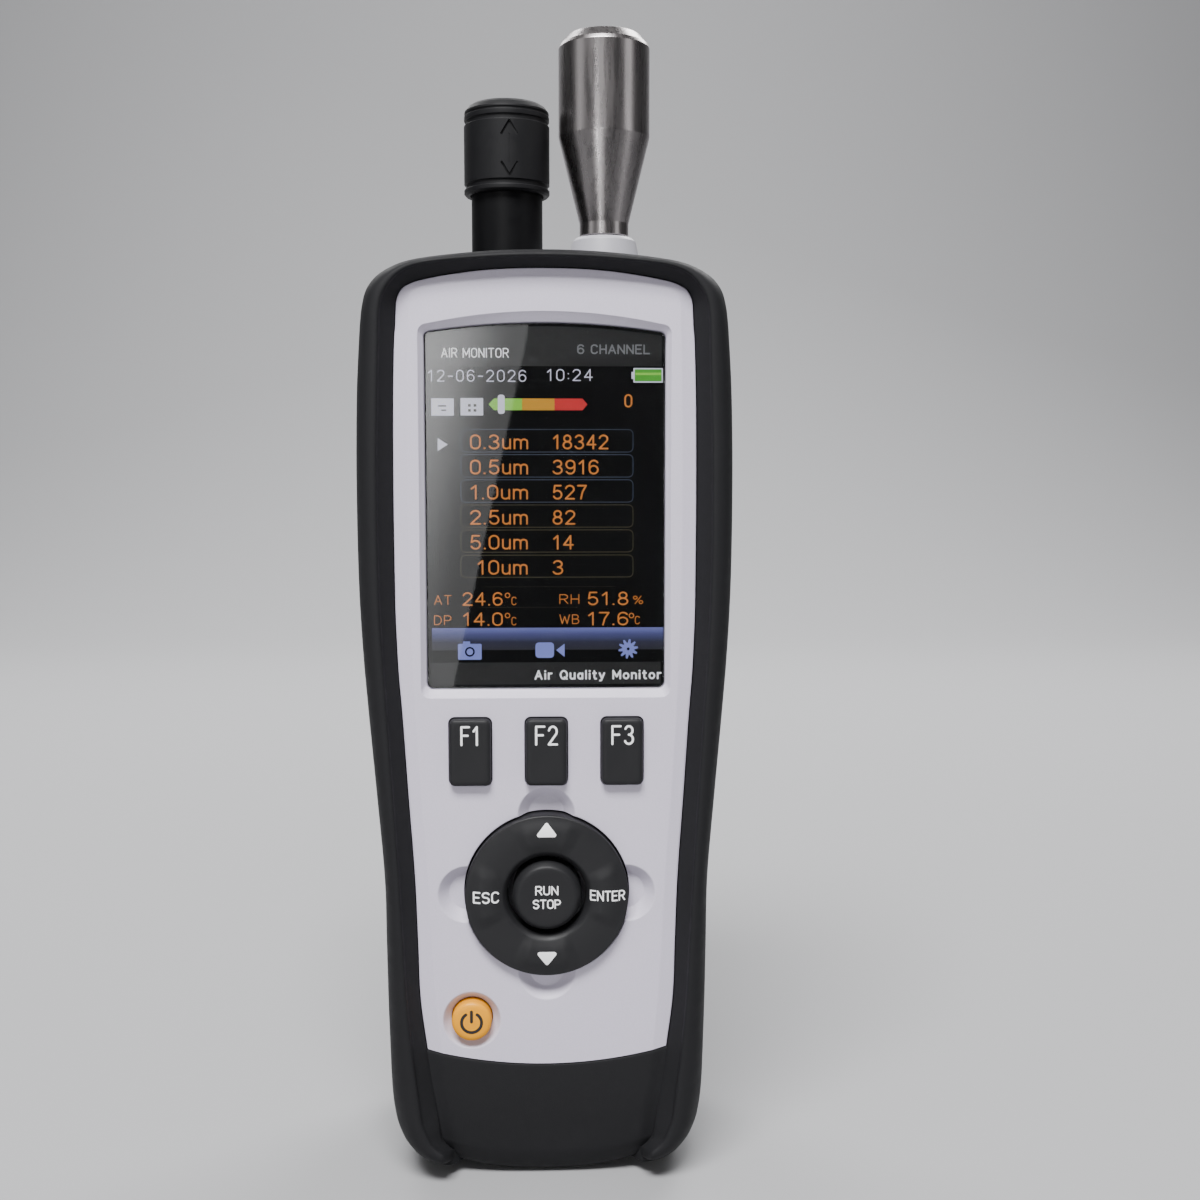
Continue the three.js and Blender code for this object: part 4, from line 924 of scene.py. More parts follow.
# the camera, worked out from the perspective of the outline: 45 degree lens, a little above, turned slightly
CAM_P = np.array([0.0, -315.0, 147.0])
PITCH, YAW = math.radians(5.14), math.radians(2.15)


def picture(px, py, y=-23.6):
    """Place on the display for a position in the 1200 x 1200 frame."""
    f = 600 / math.tan(math.radians(22.5))
    fw = np.array([math.sin(YAW) * math.cos(PITCH), math.cos(YAW) * math.cos(PITCH), -math.sin(PITCH)])
    rt = np.array([math.cos(YAW), -math.sin(YAW), 0.0])
    up = np.cross(rt, fw)
    d = fw + rt * (px - 600) / f - up * (py - 600) / f
    p = CAM_P + d * (y - CAM_P[1]) / d[1]
    return p[0], p[2]


def flat(name, polys, mat, y=Y_IMG, t=0.02, body="housing"):
    """Thin solid plates of the given outlines (x, z), facing the front."""
    V, F = [], []
    for poly in polys:
        poly = np.asarray(poly, float)
        area = 0.5 * np.sum(poly[:, 0] * np.roll(poly[:, 1], -1) - np.roll(poly[:, 0], -1) * poly[:, 1])
        if area < 0:
            poly = poly[::-1]
        n, o = len(poly), len(V)
        V += [(x, y, z) for x, z in poly] + [(x, y + t, z) for x, z in poly]
        F.append(tuple(range(o, o + n))); F.append(tuple(range(o + 2 * n - 1, o + n - 1, -1)))
        for i in range(n):
            j = (i + 1) % n
            F.append((o + i, o + n + i, o + n + j, o + j))
    o = make(name, V, F)
    o.data.materials.append(mat)
    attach(o, body)
    return o


def quad_px(x0, y0, x1, y1):
    a, b = picture(x0, y1), picture(x1, y0)
    return [(a[0], a[1]), (b[0], a[1]), (b[0], b[1]), (a[0], b[1])]


def rr_px(x0, y0, x1, y1, r, k=5):
    a, b = picture(x0, y1), picture(x1, y0)
    return rrect((a[0] + b[0]) / 2, (a[1] + b[1]) / 2, b[0] - a[0], b[1] - a[1], r, k)


def frame_ring(outer, inner):
    """Outline ring as quads between two loops of equal count."""
    n = len(outer)
    return [[outer[i], outer[(i + 1) % n], inner[(i + 1) % n], inner[i]] for i in range(n)]


def display():
    # printed header and footer of the window
    g = G(-0.6)
    hz, fz = picture(545, 366)[1], picture(545, 662.5)[1]
    xl = 23.3
    flat("window_header", [[(-xl, hz), (xl, hz)] + [(x, z) for x, z in sorted([q for q in g if q[1] > hz + 0.3], key=lambda q: -q[0])]], L_STRIP, y=-23.045)
    flat("window_footer", [[(-xl, 103.6), (xl, 103.6), (xl, fz), (-xl, fz)]], L_STRIP, y=-23.045)
    P = picture
    def T(name, word, px, py, h, mat, width=None, align="LEFT", stroke=0.27, gap=0.26):
        x, z = P(px, py)
        return lettering(name, word, x, z, h, stroke, Y_IMG, "housing", mat, gap=gap, width=width, align=align, t=0.01)
    mmpx = 0.2013
    T("text_title", "AIR MONITOR", 441, 357.5, 1.95, L_WHITE, width=13.4, stroke=0.22)
    T("text_class", "6 CHANNEL", 577, 354, 1.95, L_GREY, width=14.6, stroke=0.3)
    T("text_date", "12-06-2026", 427.5, 381.5, 2.35, L_PALE, width=19.6, stroke=0.21, gap=0.34)
    T("text_time", "10:24", 546.5, 380.8, 2.35, L_PALE, width=9.2, stroke=0.21, gap=0.34)
    T("text_kind", "Air Quality Monitor", 661.5, 679.4, 2.0, L_WHITE, align="RIGHT", width=25.8, stroke=0.37, gap=0.34)
    # battery
    a = rr_px(633.5, 368, 663, 382.5, 0.15)
    flat("icon_battery_case", [a], L_PALE)
    flat("icon_battery_nub", [quad_px(631.6, 371.8, 634, 378.8)], L_PALE)
    flat("icon_battery_fill", [rr_px(634.8, 369.2, 661.8, 381.2, 0.1)], L_GREEN, y=Y_IMG - 0.012)
    flat("icon_battery_shine", [quad_px(635.5, 372.6, 661.4, 375.0)], L_LIME, y=Y_IMG - 0.018)
    # mode squares
    flat("icon_squares", [rr_px(431.2, 398.3, 453.6, 415.6, 0.1), rr_px(460.5, 398.0, 483, 415.4, 0.1)], L_PALE)
    flat("icon_square_marks", [quad_px(438, 405, 446, 406.6), quad_px(441, 409.5, 446, 411), quad_px(468, 404, 470.6, 406.6), quad_px(473.6, 404, 476.2, 406.6),
                               quad_px(468, 409, 470.6, 411.6), quad_px(473.6, 409, 476.2, 411.6)], L_STRIP, y=Y_IMG - 0.012)
    # gauge
    zc = P(0 + 540, 404.3)[1]
    hh = 1.16
    xs = [P(v, 404)[0] for v in (488.5, 494, 522, 554.5, 582.5, 587.5)]
    flat("gauge_green", [[(xs[0], zc), (xs[1], zc - hh), (xs[2], zc - hh), (xs[2], zc + hh), (xs[1], zc + hh)]], L_LIME)
    flat("gauge_amber", [[(xs[2], zc - hh), (xs[3], zc - hh), (xs[3], zc + hh), (xs[2], zc + hh)]], L_AMBER)
    flat("gauge_red", [[(xs[3], zc - hh), (xs[4], zc - hh), (xs[5], zc), (xs[4], zc + hh), (xs[3], zc + hh)]], L_RED)
    flat("gauge_slider", [rr_px(497.8, 394.6, 504.6, 413.8, 0.5)], L_PALE, y=Y_IMG - 0.02)
    T("text_level", "0", 624.5, 407.4, 2.65, L_ORANGE, stroke=0.3)
    # channels
    rows = [("0.3um", "18342"), ("0.5um", "3916"), ("1.0um", "527"), ("2.5um", "82"), ("5.0um", "14"), ("10um", "3")]
    for i, (a_, b_) in enumerate(rows):
        yb = 449.3 + 25.15 * i - (0.2 if i > 3 else 0)
        left = 470 if i < 5 else 477
        T(f"text_size_{i}", a_, left, yb, 2.95, L_ORANGE, width=(527.5 - left) * mmpx, stroke=0.33)
        T(f"text_count_{i}", b_, 552.5, yb, 2.95, L_ORANGE, width=[11.1, 9.2, 6.8, 4.5, 4.2, 2.1][i] + 0.1, stroke=0.33)
        o_, i_ = rr_px(460.5, yb - 20.2, 633.5, yb + 3.0, 1.0), rr_px(461.2, yb - 19.5, 632.8, yb + 2.3, 0.86)
        flat(f"row_box_{i}", frame_ring(o_, i_), L_LINEB if i < 3 else L_LINEO)
    flat("icon_play", [[P(437.5, 438), P(437.5, 451), P(447.5, 444.5)]], L_PALE)
    # climate rows
    flat("climate_lines", [quad_px(484, 586.6, 616, 587.1), quad_px(478, 607.2, 578, 607.7)], L_LINEO)
    for j, (l1, v1, l2, v2, u2) in enumerate((("AT", "24.6", "RH", "51.8", "%"), ("DP", "14.0", "WB", "17.6", "C"))):
        yb = 605.0 + 20.2 * j
        T(f"text_l1_{j}", l1, 434, yb, 1.95, L_ORANGE, width=3.5, stroke=0.16)
        T(f"text_v1_{j}", v1, 462.5, yb + 1.0, 2.75, L_ORANGE, width=8.1, stroke=0.3)
        T(f"text_u1_{j}", "C", 511.5, yb + 0.3, 1.7, L_ORANGE, stroke=0.16)
        T(f"text_l2_{j}", l2, 559.5, yb - 1.0, 1.95, L_ORANGE, width=4.0, stroke=0.16)
        T(f"text_v2_{j}", v2, 587.5, yb + 0.4, 2.75, L_ORANGE, width=8.3, stroke=0.3)
        T(f"text_u2_{j}", u2, 635.0 if j else 633.0, yb - 0.8, 1.7, L_ORANGE, stroke=0.16, width=None if j else 2.1)
        for q, px in ((0, 507.5), (1, 631.5)):
            if j == 0 and q == 1:
                continue
            c = P(px, yb - 9.5)
            flat(f"deg_{j}_{q}", frame_ring(circle_ring(c[0], c[1], 0.55, 20), circle_ring(c[0], c[1], 0.36, 20)), L_ORANGE)
    # soft key bar: blue fading to black, then three signs
    m = lit("lcd_bar", srgb(96, 104, 188), 0.75)
    nt = m.node_tree
    tc = nt.nodes.new("ShaderNodeTexCoord"); sx = nt.nodes.new("ShaderNodeSeparateXYZ"); mr = nt.nodes.new("ShaderNodeMapRange"); cr = nt.nodes.new("ShaderNodeValToRGB")
    nt.links.new(tc.outputs["Object"], sx.inputs[0]); nt.links.new(sx.outputs[2], mr.inputs[0]); nt.links.new(mr.outputs[0], cr.inputs[0])
    mr.inputs[1].default_value, mr.inputs[2].default_value = P(540, 650.0)[1] * MM, P(540, 627.4)[1] * MM
    stops = ((0.0, (5, 5, 8)), (0.35, (24, 26, 52)), (0.7, (72, 78, 140)), (1.0, (122, 128, 204)))
    while len(cr.color_ramp.elements) < len(stops):
        cr.color_ramp.elements.new(0.5)
    for e_, (t_, c_) in zip(cr.color_ramp.elements, stops):
        e_.position, e_.color = t_, (*srgb(*c_), 1)
    nt.links.new(cr.outputs[0], nt.nodes["Principled BSDF"].inputs["Emission Color"])
    nt.nodes["Principled BSDF"].inputs["Base Color"].default_value = (0.01, 0.01, 0.02, 1)
    flat("softbar", [quad_px(432, 627.4, 663, 650.5)], m)
    cam = [rr_px(458, 644.0, 481.5, 660.0, 0.25)]
    flat("icon_camera", cam + [quad_px(463, 641.6, 470, 644.4)], L_BLUE, y=Y_IMG - 0.012)
    c = P(469.8, 652)
    flat("icon_camera_lens", frame_ring(circle_ring(c[0], c[1], 1.0, 28), circle_ring(c[0], c[1], 0.66, 28)), M_BACKING, y=Y_IMG - 0.02)
    flat("icon_video", [rr_px(535.5, 642.6, 554, 658.0, 0.7), [P(556.2, 650.3), P(564.6, 643.8), P(564.6, 657.0)]], L_BLUE, y=Y_IMG - 0.012)
    c = P(628.3, 649.0)
    gear = []
    for i in range(80):
        t = 2 * math.pi * i / 80
        r = 1.62 + 0.38 * max(-1, min(1, 2.4 * math.sin(10 * t)))
        gear.append((c[0] + r * math.cos(t), c[1] + r * math.sin(t)))
    flat("icon_gear", [gear], L_BLUE, y=Y_IMG - 0.012)
    flat("icon_gear_hole", [circle_ring(c[0], c[1], 0.3, 20)], M_BACKING, y=Y_IMG - 0.02)


display()

# ------------------------------------------------------------------ soft keys
def key_cap(name, x):
    lay = [(-21.4, 0.0), (-25.6, 0.0), (-26.25, 0.03), (-26.55, 0.12), (-26.78, 0.28), (-26.92, 0.5), (-26.985, 0.8), (-27.0, 1.15)]
    rings = []
    for y, d in lay:
        q = rrect(x, KEY_Z, KEY_W - 2 * d, KEY_H - 2 * d, max(KEY_R + 0.1 - d * 0.45, 0.4), 8)
        rings.append(at(q, y))
    # shallow finger hollow
    n = len(rings[0])
    for f, y in ((0.72, -26.97), (0.4, -26.93), (0.14, -26.92)):
        q = rings[len(lay) - 1][:, [0, 2]]
        c = np.array([x, KEY_Z])
        rings.append(at(c + (q - c) * f, y))
    o = fan_cap_solid(name, rings)
    flange = loft("t", [at(rrect(x, KEY_Z, KEY_W + 1.6, KEY_H + 1.6, 1.6, 6), -21.8), at(rrect(x, KEY_Z, KEY_W + 1.6, KEY_H + 1.6, 1.6, 6), -20.8)], cap="ngon")
    return join(o, flange)


for i, nm in enumerate(("f1", "f2", "f3")):
    x = (i - 1) * KEY_PITCH
    piece(key_cap(f"soft_key_{nm}", x), f"key_{nm}", M_KEY, [f"key_{nm}"], angle=40)
    lettering(f"legend_{nm}", nm.upper(), x + 0.05, KEY_Z + 1.5, 4.05, 0.42, -27.0, f"key_{nm}", M_INK, gap=0.3, width=4.6 if nm != "f1" else 3.9,
              surface=lambda a, b: -26.985)

# ------------------------------------------------------------------ four-way ring
def pad_height(x, z):
    """Depth of the ring's face at a point: a low crown, raised a little in the four quarters that are pressed."""
    r = np.hypot(x, z - PAD_Z)
    y = -26.85 - 0.35 * np.cos((r - 12.4) / 4.6 * math.pi / 2)
    off = np.abs((np.degrees(np.arctan2(z - PAD_Z, x)) + 45) % 90 - 45)
    return y - 0.62 * smooth((29.5 - off) / 13.0) * smooth((r - 8.6) / 3.0) * (1 - smooth((r - 13.2) / 3.3))


def four_way():
    seg = 288
    th = np.arange(seg) * 2 * math.pi / seg
    radii = [8.75, 8.95, 9.2, 9.6, 10.2, 10.9, 11.6, 12.3, 13.0, 13.6, 14.2, 14.8, 15.3, 15.7, 16.0, 16.2]
    rows = []
    def row(r, y):
        x, z = r * np.cos(th), PAD_Z + r * np.sin(th)
        yy = y(x, z) if callable(y) else np.full(seg, y)
        rows.append(np.stack([x, yy, z], 1))
    row(15.3, -22.4); row(8.0, -22.4)
    row(8.0, -25.55); row(8.05, -25.75)
    row(8.2, lambda x, z: pad_height(x, z) + 0.86)
    row(8.55, lambda x, z: pad_height(x, z) + 0.48)
    row(8.85, lambda x, z: pad_height(x, z) + 0.2)
    row(9.1, lambda x, z: pad_height(x, z) + 0.05)
    row(9.35, lambda x, z: pad_height(x, z) + 0.0)
    for r in radii[3:]:
        row(r, pad_height)
    for r, k in ((16.34, 0.02), (16.46, 0.07), (16.56, 0.16), (16.62, 0.29), (16.65, 0.45)):
        row(r, lambda x, z, k=k: pad_height(x * 16.2 / r, PAD_Z + (z - PAD_Z) * 16.2 / r) + k)
    row(16.65, -25.0); row(16.65, -21.0); row(17.6, -21.0); row(17.6, -20.6); row(15.3, -20.6)
    return loft("four_way_ring", rows, cap="tube")


pad = piece(four_way(), "dpad", M_PAD, ["dpad_ring"], angle=42)


def printed(name, groups, solid, lift, y0, y1, body, mat):
    """Ink that follows a curved face exactly: the strokes' prism cut from a copy of the face lifted by `lift`."""
    o = None
    for group in groups:
        for poly in group:
            q = slab("t", poly, y0, y1 - y0)
            o = q if o is None else join(o, q)
    o.name = o.data.name = name
    co = np.empty(len(solid.data.vertices) * 3, np.float32)
    solid.data.vertices.foreach_get("co", co)
    co = co.reshape(-1, 3); co[:, 1] -= lift * MM
    solid.data.vertices.foreach_set("co", co.ravel()); solid.data.update()
    cut(o, solid, op="INTERSECT")
    o.data.materials.clear(); o.data.materials.append(mat)
    tidy(o, 40, False)
    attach(o, body)
    return o


def arrow(cx_, cz_, s, up=1):
    pts = rounded([(0, 1.55 * s, 0.35), (2.2 * s, -1.25 * s, 0.4), (-2.2 * s, -1.25 * s, 0.4)], closed=True, k=5)
    return [(cx_ + a, cz_ + b * up) for a, b in pts]


marks = word_groups("ESC", -12.3, PAD_Z - 1.2, 2.45, 0.34, 0.26, 5.35) + word_groups("ENTER", 12.35, PAD_Z - 0.95, 2.2, 0.29, 0.22, 7.15)
marks += [[arrow(0, PAD_Z + 13.8, 1.08, 1)], [arrow(0, PAD_Z - 12.7, 1.06, -1)]]
printed("legend_pad", marks, four_way(), 0.035, -30.0, -26.3, "dpad", M_INK)

# ------------------------------------------------------------------ run and stop key
prof = [(0, -20.4), (7.05, -20.4), (7.05, -26.3), (7.0, -26.55), (6.85, -26.85), (6.45, -27.45), (6.2, -27.72), (5.93, -27.86), (5.5, -27.9), (4.6, -27.86), (3.2, -27.79), (1.6, -27.745), (0, -27.73)]
run = spin("run_stop_key", prof, 128, "y", 0, PAD_Z)
piece(run, "run_stop", M_KEY, ["run_stop_button"], angle=40)
on_run = lambda a, b: -27.73 - 0.17 * min(1.0, (math.hypot(a, b - PAD_Z) / 5.5)) ** 2
lettering("legend_run", "RUN", 0, PAD_Z + 0.42, 1.95, 0.28, -27.8, "run_stop", M_INK, gap=0.24, width=4.7, surface=on_run)
lettering("legend_stop", "STOP", 0, PAD_Z - 2.4, 1.95, 0.28, -27.8, "run_stop", M_INK, gap=0.22, width=5.7, surface=on_run)

# ------------------------------------------------------------------ power key
prof = [(0, -20.8), (5.2, -20.8), (5.2, -21.8), (4.1, -21.8), (4.1, -25.5), (4.06, -25.75), (3.94, -25.98), (3.72, -26.2), (3.4, -26.36), (2.9, -26.44), (1.8, -26.48), (0, -26.5)]
piece(spin("power_key_cap", prof, 96, "y", POW_X, POW_Z), "power_key", M_ORANGE, ["power_button"], angle=40)
on_pow = lambda a, b: -26.5 + 0.06 * min(1.0, math.hypot(a - POW_X, b - POW_Z) / 2.9) ** 2
ring_arc = arc(POW_X, POW_Z - 0.05, 2.05, 2.05, 90 + 34, 90 + 326, 40)
decal("legend_power", [[ribbon(ring_arc, 0.62)], [ribbon([(POW_X, POW_Z + 0.15), (POW_X, POW_Z + 2.25)], 0.62)]], -26.5, "power_key", M_INKBLACK, surface=on_pow, grouped=True)

# ------------------------------------------------------------------ sensor stem, guard, collar, probe
prof = rounded([(5.2, 184.4), (9.4, 184.4), (9.4, 186.0), (7.56, 186.0), (7.56, 207.0, 0.35), (6.35, 207.3, 0.1), (6.35, 221.8, 0.5), (5.2, 221.8, 0.2)], closed=True, k=4)
stem = spin("sensor_stem_tube", prof, 96, "z", STEM_X, STEM_Y, closed=True)
for i in range(4):
    a = math.radians(45 + 90 * i)
    w = rbox("t", 3.8, 8.0, -1.6, 1.6, 209.5, 219.5, 0.5, 3, axis="x")
    co = np.array([v.co for v in w.data.vertices], float) / MM
    c, s = math.cos(a), math.sin(a)
    new = np.stack([STEM_X + co[:, 0] * c - co[:, 1] * s, STEM_Y + co[:, 0] * s + co[:, 1] * c, co[:, 2]], 1) * MM
    w.data.vertices.foreach_set("co", new.astype(np.float32).ravel()); w.data.update()
    cut(stem, w)
piece(stem, "housing", M_STEM, ["sensor_stem"], angle=40)

g = 9.1
prof = rounded([(7.8, 205.0, 0.15), (8.65, 205.0, 0.3), (g, 205.5, 0.2), (g, 206.3, 0.15), (8.74, 206.42, 0.1), (8.74, 207.28, 0.1), (g, 207.4, 0.15),
                (g, 219.55, 0.15), (8.74, 219.68, 0.1), (8.74, 220.5, 0.1), (9.05, 220.62, 0.12), (9.05, 221.55, 0.12), (8.8, 221.66, 0.08), (8.8, 222.0, 0.08),
                (9.0, 222.1, 0.1), (8.95, 222.5, 0.2), (8.2, 223.45, 0.35), (7.3, 224.0, 0.3), (6.75, 224.0, 0.2), (6.75, 222.2, 0.1), (7.8, 222.2, 0.1)], closed=True, k=4)
guard = spin("sensor_guard_sleeve", prof, 128, "z", STEM_X, STEM_Y, closed=True)
# up-and-down mark sunk into the sleeve, to show that it slides
for k, (zt, sgn) in enumerate(((219.05, -1), (208.0, 1))):
    chev = [(-8.85, zt + sgn * 2.6), (-7.25, zt), (-5.65, zt + sgn * 2.6)]
    for half in (chev[:2], chev[1:]):
        band = np.array(ribbon(half, 0.5))
        cut(guard, loft("t", [at(band, -8.2), at(band, -6.55)], cap="ngon"))
shaft = np.array(ribbon([(-7.25, 210.6), (-7.25, 216.4)], 0.2))
cut(guard, loft("t", [at(shaft, -8.2), at(shaft, -6.92)], cap="ngon"))
piece(guard, "guard", M_GUARD, ["sensor_guard"], angle=40)


prof = rounded([(2.0, 184.2), (8.6, 184.2), (8.6, 185.6), (7.4, 185.6), (7.4, 190.9), (7.55, 191.1, 0.1), (7.55, 192.4, 1.2), (6.78, 195.75, 0.7), (6.0, 196.4, 0.25), (5.6, 196.4), (4.2, 196.4), (4.2, 188), (2.0, 188)], closed=True, k=5)
piece(spin("inlet_collar_ring", prof, 96, "z", PRB_X, PRB_Y, closed=True), "housing", M_COLLAR, ["inlet_collar"], angle=40)
prof = rounded([(1.7, 188.4), (3.8, 188.4, 0.3), (3.8, 196.7), (5.24, 196.7, 0.25), (5.24, 199.45, 0.5), (9.7, 217.5, 1.6), (9.7, 235.9, 0.5), (9.3, 236.7, 0.4), (7.6, 238.6, 0.3), (7.1, 238.75, 0.12), (6.75, 238.2, 0.3), (6.6, 236.4, 0.5), (1.7, 214.2, 0.8)], closed=True, k=6)
piece(spin("probe_body", prof, 160, "z", PRB_X, PRB_Y, closed=True), "housing", M_STEEL, ["isokinetic_probe"], angle=30)

# ------------------------------------------------------------------ rear cover
CA = steps_for(OUT_A, 2.4, 4)
rA = mirrored(half_curve(OUT_A, CA)); rA[:, 1] = np.maximum(rA[:, 1], 0)


def rear_rings(d0=0.0, y_front=-8.2, back=0.0, fine=True):
    base = inset(rA, d0) if d0 > 0 else rA
    yb = lambda ring: y_back(base[:, 1]) - back
    rings = []
    if fine and d0 == 0:
        rings += [at(inset(rA, 0.35), y_front), at(inset(rA, 0.1), y_front + 0.1), at(rA, y_front + 0.4)]
    else:
        rings += [at(base, y_front)]
    rings.append(at(base, -2.0))
    rings.append(at(base, yb(base) - R_BACK - 5))
    for i in range(1, 5):
        t = i / 4
        rings.append(at(shrink(base, 0.5 * t * t), yb(base) - R_BACK - 5 + 5 * t))
    K = 12
    for i in range(1, K + 1):
        a = i / K * math.pi / 2
        s = R_BACK * (1 - math.cos(a))
        rings.append(at(shrink(base, 0.5 + s * 0.8), yb(base) - R_BACK * (1 - math.sin(a))))
    return rings


def plate_tool(name, ring_fn, y_face, y_floor, flare=0.25):
    """Cutter from behind: mouth at y_face, floor at y_floor (smaller y)."""
    rings = [at(ring_fn(flare + 0.02), y_face + 1.5), at(ring_fn(flare + 0.02), y_face + 0.004)]
    for i in range(1, 6):
        a = math.pi / 2 * i / 5
        rings.append(at(ring_fn(flare * (1 - math.sin(a))), y_face - flare * (1 - math.cos(a))))
    rings.append(at(ring_fn(0), y_floor))
    return loft(name, rings, cap="ngon")


rear = loft("rear_shell", rear_rings())
cut(rear, loft("t", rear_rings(2.2, -9.5, 2.4, fine=False)))
# thickened places inside, as the CAD has them
thick = loft("t2", rear_rings(1.1, -8.0, 1.0, fine=False))
blocks = [box("t", -21.5, 21.5, 17, 27.5, 73.4, 123), spin("t", [(0, 17.5), (9.2, 17.5), (9.2, 27.3), (0, 27.3)], 48, "y", 0, TRI_Z),
          spin("t", [(0, 23.2), (10.2, 23.2), (10.2, 27.3), (0, 27.3)], 48, "y", 0, CAM_Z)]
blocks += [spin("t", [(0, 15), (4.4, 15), (4.4, 27), (0, 27)], 32, "y", x, z) for x, z in SCREWS]
for b in blocks:
    cut(b, thick, op="INTERSECT", keep=True)
    join(rear, b)
bpy.data.objects.remove(thick)
cut(rear, plate_tool("t", lambda d: rrect(0, 98.0, 34.0 + 2 * d, 43.2 + 2 * d, 2.2 + d), Y_GRIP, 19.0, 0.3))
cut(rear, plate_tool("t", lambda d: rrect(0, 39.5, 41.0 + 2 * d, 63.0 + 2 * d, 2.6 + d), Y_GRIP, 14.0, 0.22))
cut(rear, plate_tool("t", lambda d: circle_ring(0, TRI_Z, 6.7 + d, 72), Y_BACK, 15.0, 0.2))
cut(rear, plate_tool("t", lambda d: circle_ring(0, CAM_Z, 8.25 + d, 96), Y_BACK, 15.0, 0.3))
for x, z in SCREWS:
    cut(rear, spin("t", [(0, 17.3), (3.1, 17.3), (3.1, 40), (0, 40)], 48, "y", x, z))
for cx_, r in ((STEM_X, 7.85), (PRB_X, 7.7)):
    cut(rear, spin("t", [(0, 180), (r, 180), (r, 200), (0, 200)], 96, "z", cx_, STEM_Y))
for i in range(5):
    cut(rear, rbox("t", 30, 45, -2.0, 10.0, 108 + i * 3.2, 109.4 + i * 3.2, 0.3, 3, axis="x"))
# port bay: sunk floor, then the port mouths
bay = box("t", -60, -30, FLAP[0] - 0.25, FLAP[1] + 0.25, FLAP[2] - 0.25, FLAP[3] + 0.25)
cut(bay, loft("t2", rear_rings(2.3, -9.5, -3, fine=False)))
shelf = box("t", -45, -30, FLAP[0] - 2.4, FLAP[1] + 2.4, FLAP[2] - 2.4, FLAP[3] + 2.4)
cut(shelf, loft("t2", rear_rings(4.4, -9.5, -3, fine=False)))
cut(shelf, loft("t3", rear_rings(1.1, -8.0, 1.0, fine=False)), op="INTERSECT")
join(rear, shelf)
cut(rear, bay)
cut(rear, spin("t", [(0, -40), (3.4, -40), (3.4, -25), (0, -25)], 48, "x", 6, 104.5))
cut(rear, rbox("t", -40, -25, 0.2, 11.8, 115.2, 118.0, 0.3, 3, axis="x"))
cut(rear, rbox("t", -40, -25, 1.9, 10.1, 126.3, 130.0, 0.5, 3, axis="x"))
level(piece(rear, "housing", M_SHELL, ["rear_cover"], angle=40), 40)


def plate(name, ring_fn, y0, y1, edge=0.35):
    """Rounded plate whose outer face is at y1."""
    lay = [(y0, 0.0)]
    for i in range(0, 6):
        a = math.pi / 2 * i / 5
        lay.append((y1 - edge * (1 - math.sin(a)), edge * (1 - math.cos(a))))
    return loft(name, [at(ring_fn(-d), y) for y, d in lay], cap="ngon")


door = plate("battery_hatch", lambda d: rrect(0, 39.5, 40.4 + 2 * d, 62.4 + 2 * d, 2.3 + d), 21.1, Y_GRIP, 0.3)
for i in range(5):
    cut(door, rbox("t", -9, 9, 22.95, 25, 15.2 + i * 2.6, 16.3 + i * 2.6, 0.35, 3, axis="y"))
cut(door, plate_tool("t", lambda d: circle_ring(0, 68, 3.1 + d, 48), Y_GRIP, 22.2, 0.2))
cut(door, spin("t", [(0, 10), (1.6, 10), (1.6, 30), (0, 30)], 32, "y", 0, 68))
level(piece(door, "housing", M_SHELL, ["battery_door"], angle=40), 40)


def screw_head(name, x, z, y, r, h, shank, length, node):
    prof = rounded([(0, y - h - length), (shank, y - h - length), (shank, y - h), (r, y - h, 0.1), (r, y - 0.15, 0.5), (r * 0.8, y, 0.5), (0, y + 0.02)], k=5)
    o = spin(name, prof, 48, "y", x, z)
    cut(o, rbox("t", x - r * 0.62, x + r * 0.62, y - 0.75, y + 1, z - 0.32, z + 0.32, 0.12, 2))
    cut(o, rbox("t", x - 0.32, x + 0.32, y - 0.75, y + 1, z - r * 0.62, z + r * 0.62, 0.12, 2))
    piece(o, "housing", M_SCREW, [node], angle=40)


screw_head("hatch_screw", 0, 68, 23.25, 2.5, 0.85, 1.2, 3.2, "battery_door_screw")
for i, (x, z) in enumerate(SCREWS):
    screw_head(f"shell_screw_{i + 1}", x, z, 19.2, 2.6, 1.7, 1.2, 20.0, f"case_screw_{i + 1}")

# stand
st = plate("fold_out_stand", lambda d: rrect(0, 98.0, 33.0 + 2 * d, 38.0 + 2 * d, 1.6 + d), 19.5, 23.1, 0.3)
barrel = spin("t", rounded([(0, -16.5), (1.85, -16.5, 0.25), (1.85, 16.5, 0.25), (0, 16.5)], k=4), 48, "x", 21.2, 117)
join(st, barrel)
cut(st, loft("t", [at(rrect(0, 99.5, 23, 19, 1.5), 18), at(rrect(0, 99.5, 23, 19, 1.5), 26)], cap="ngon"))
cut(st, spin("t", [(0, -20), (1.3, -20), (1.3, 20), (0, 20)], 32, "x", 21.2, 117))
cut(st, rbox("t", -5, 5, 21.8, 25, 77, 81.4, 0.5, 4))
for sx in (-1, 1):
    cut(st, rbox("t", min(sx * 12.2, sx * 15.2), max(sx * 12.2, sx * 15.2), 22.7, 24, 91, 108, 0.3, 3))
level(piece(st, "stand", M_SHELL, ["kickstand"], angle=40), 40)

# tripod insert with a thread, camera
prof = [(0, 20.6)]
rows = []
prof = rounded([(0, 19.2), (6.5, 19.2, 0.2), (6.5, 28.2, 0.2), (6.1, 28.4, 0.1), (3.75, 28.4, 0.1), (3.2, 27.9, 0.1)], k=3)
y = 27.7
while y > 21.2:
    prof += [(3.2, y), (2.78, y - 0.42), (2.78, y - 0.56), (3.2, y - 0.98)]
    y -= 1.27
prof += [(3.0, 20.9), (2.6, 20.6), (0, 20.6)]
piece(spin("tripod_socket_insert", prof, 72, "y", 0, TRI_Z), "housing", M_BRASS, ["tripod_insert"], angle=30)

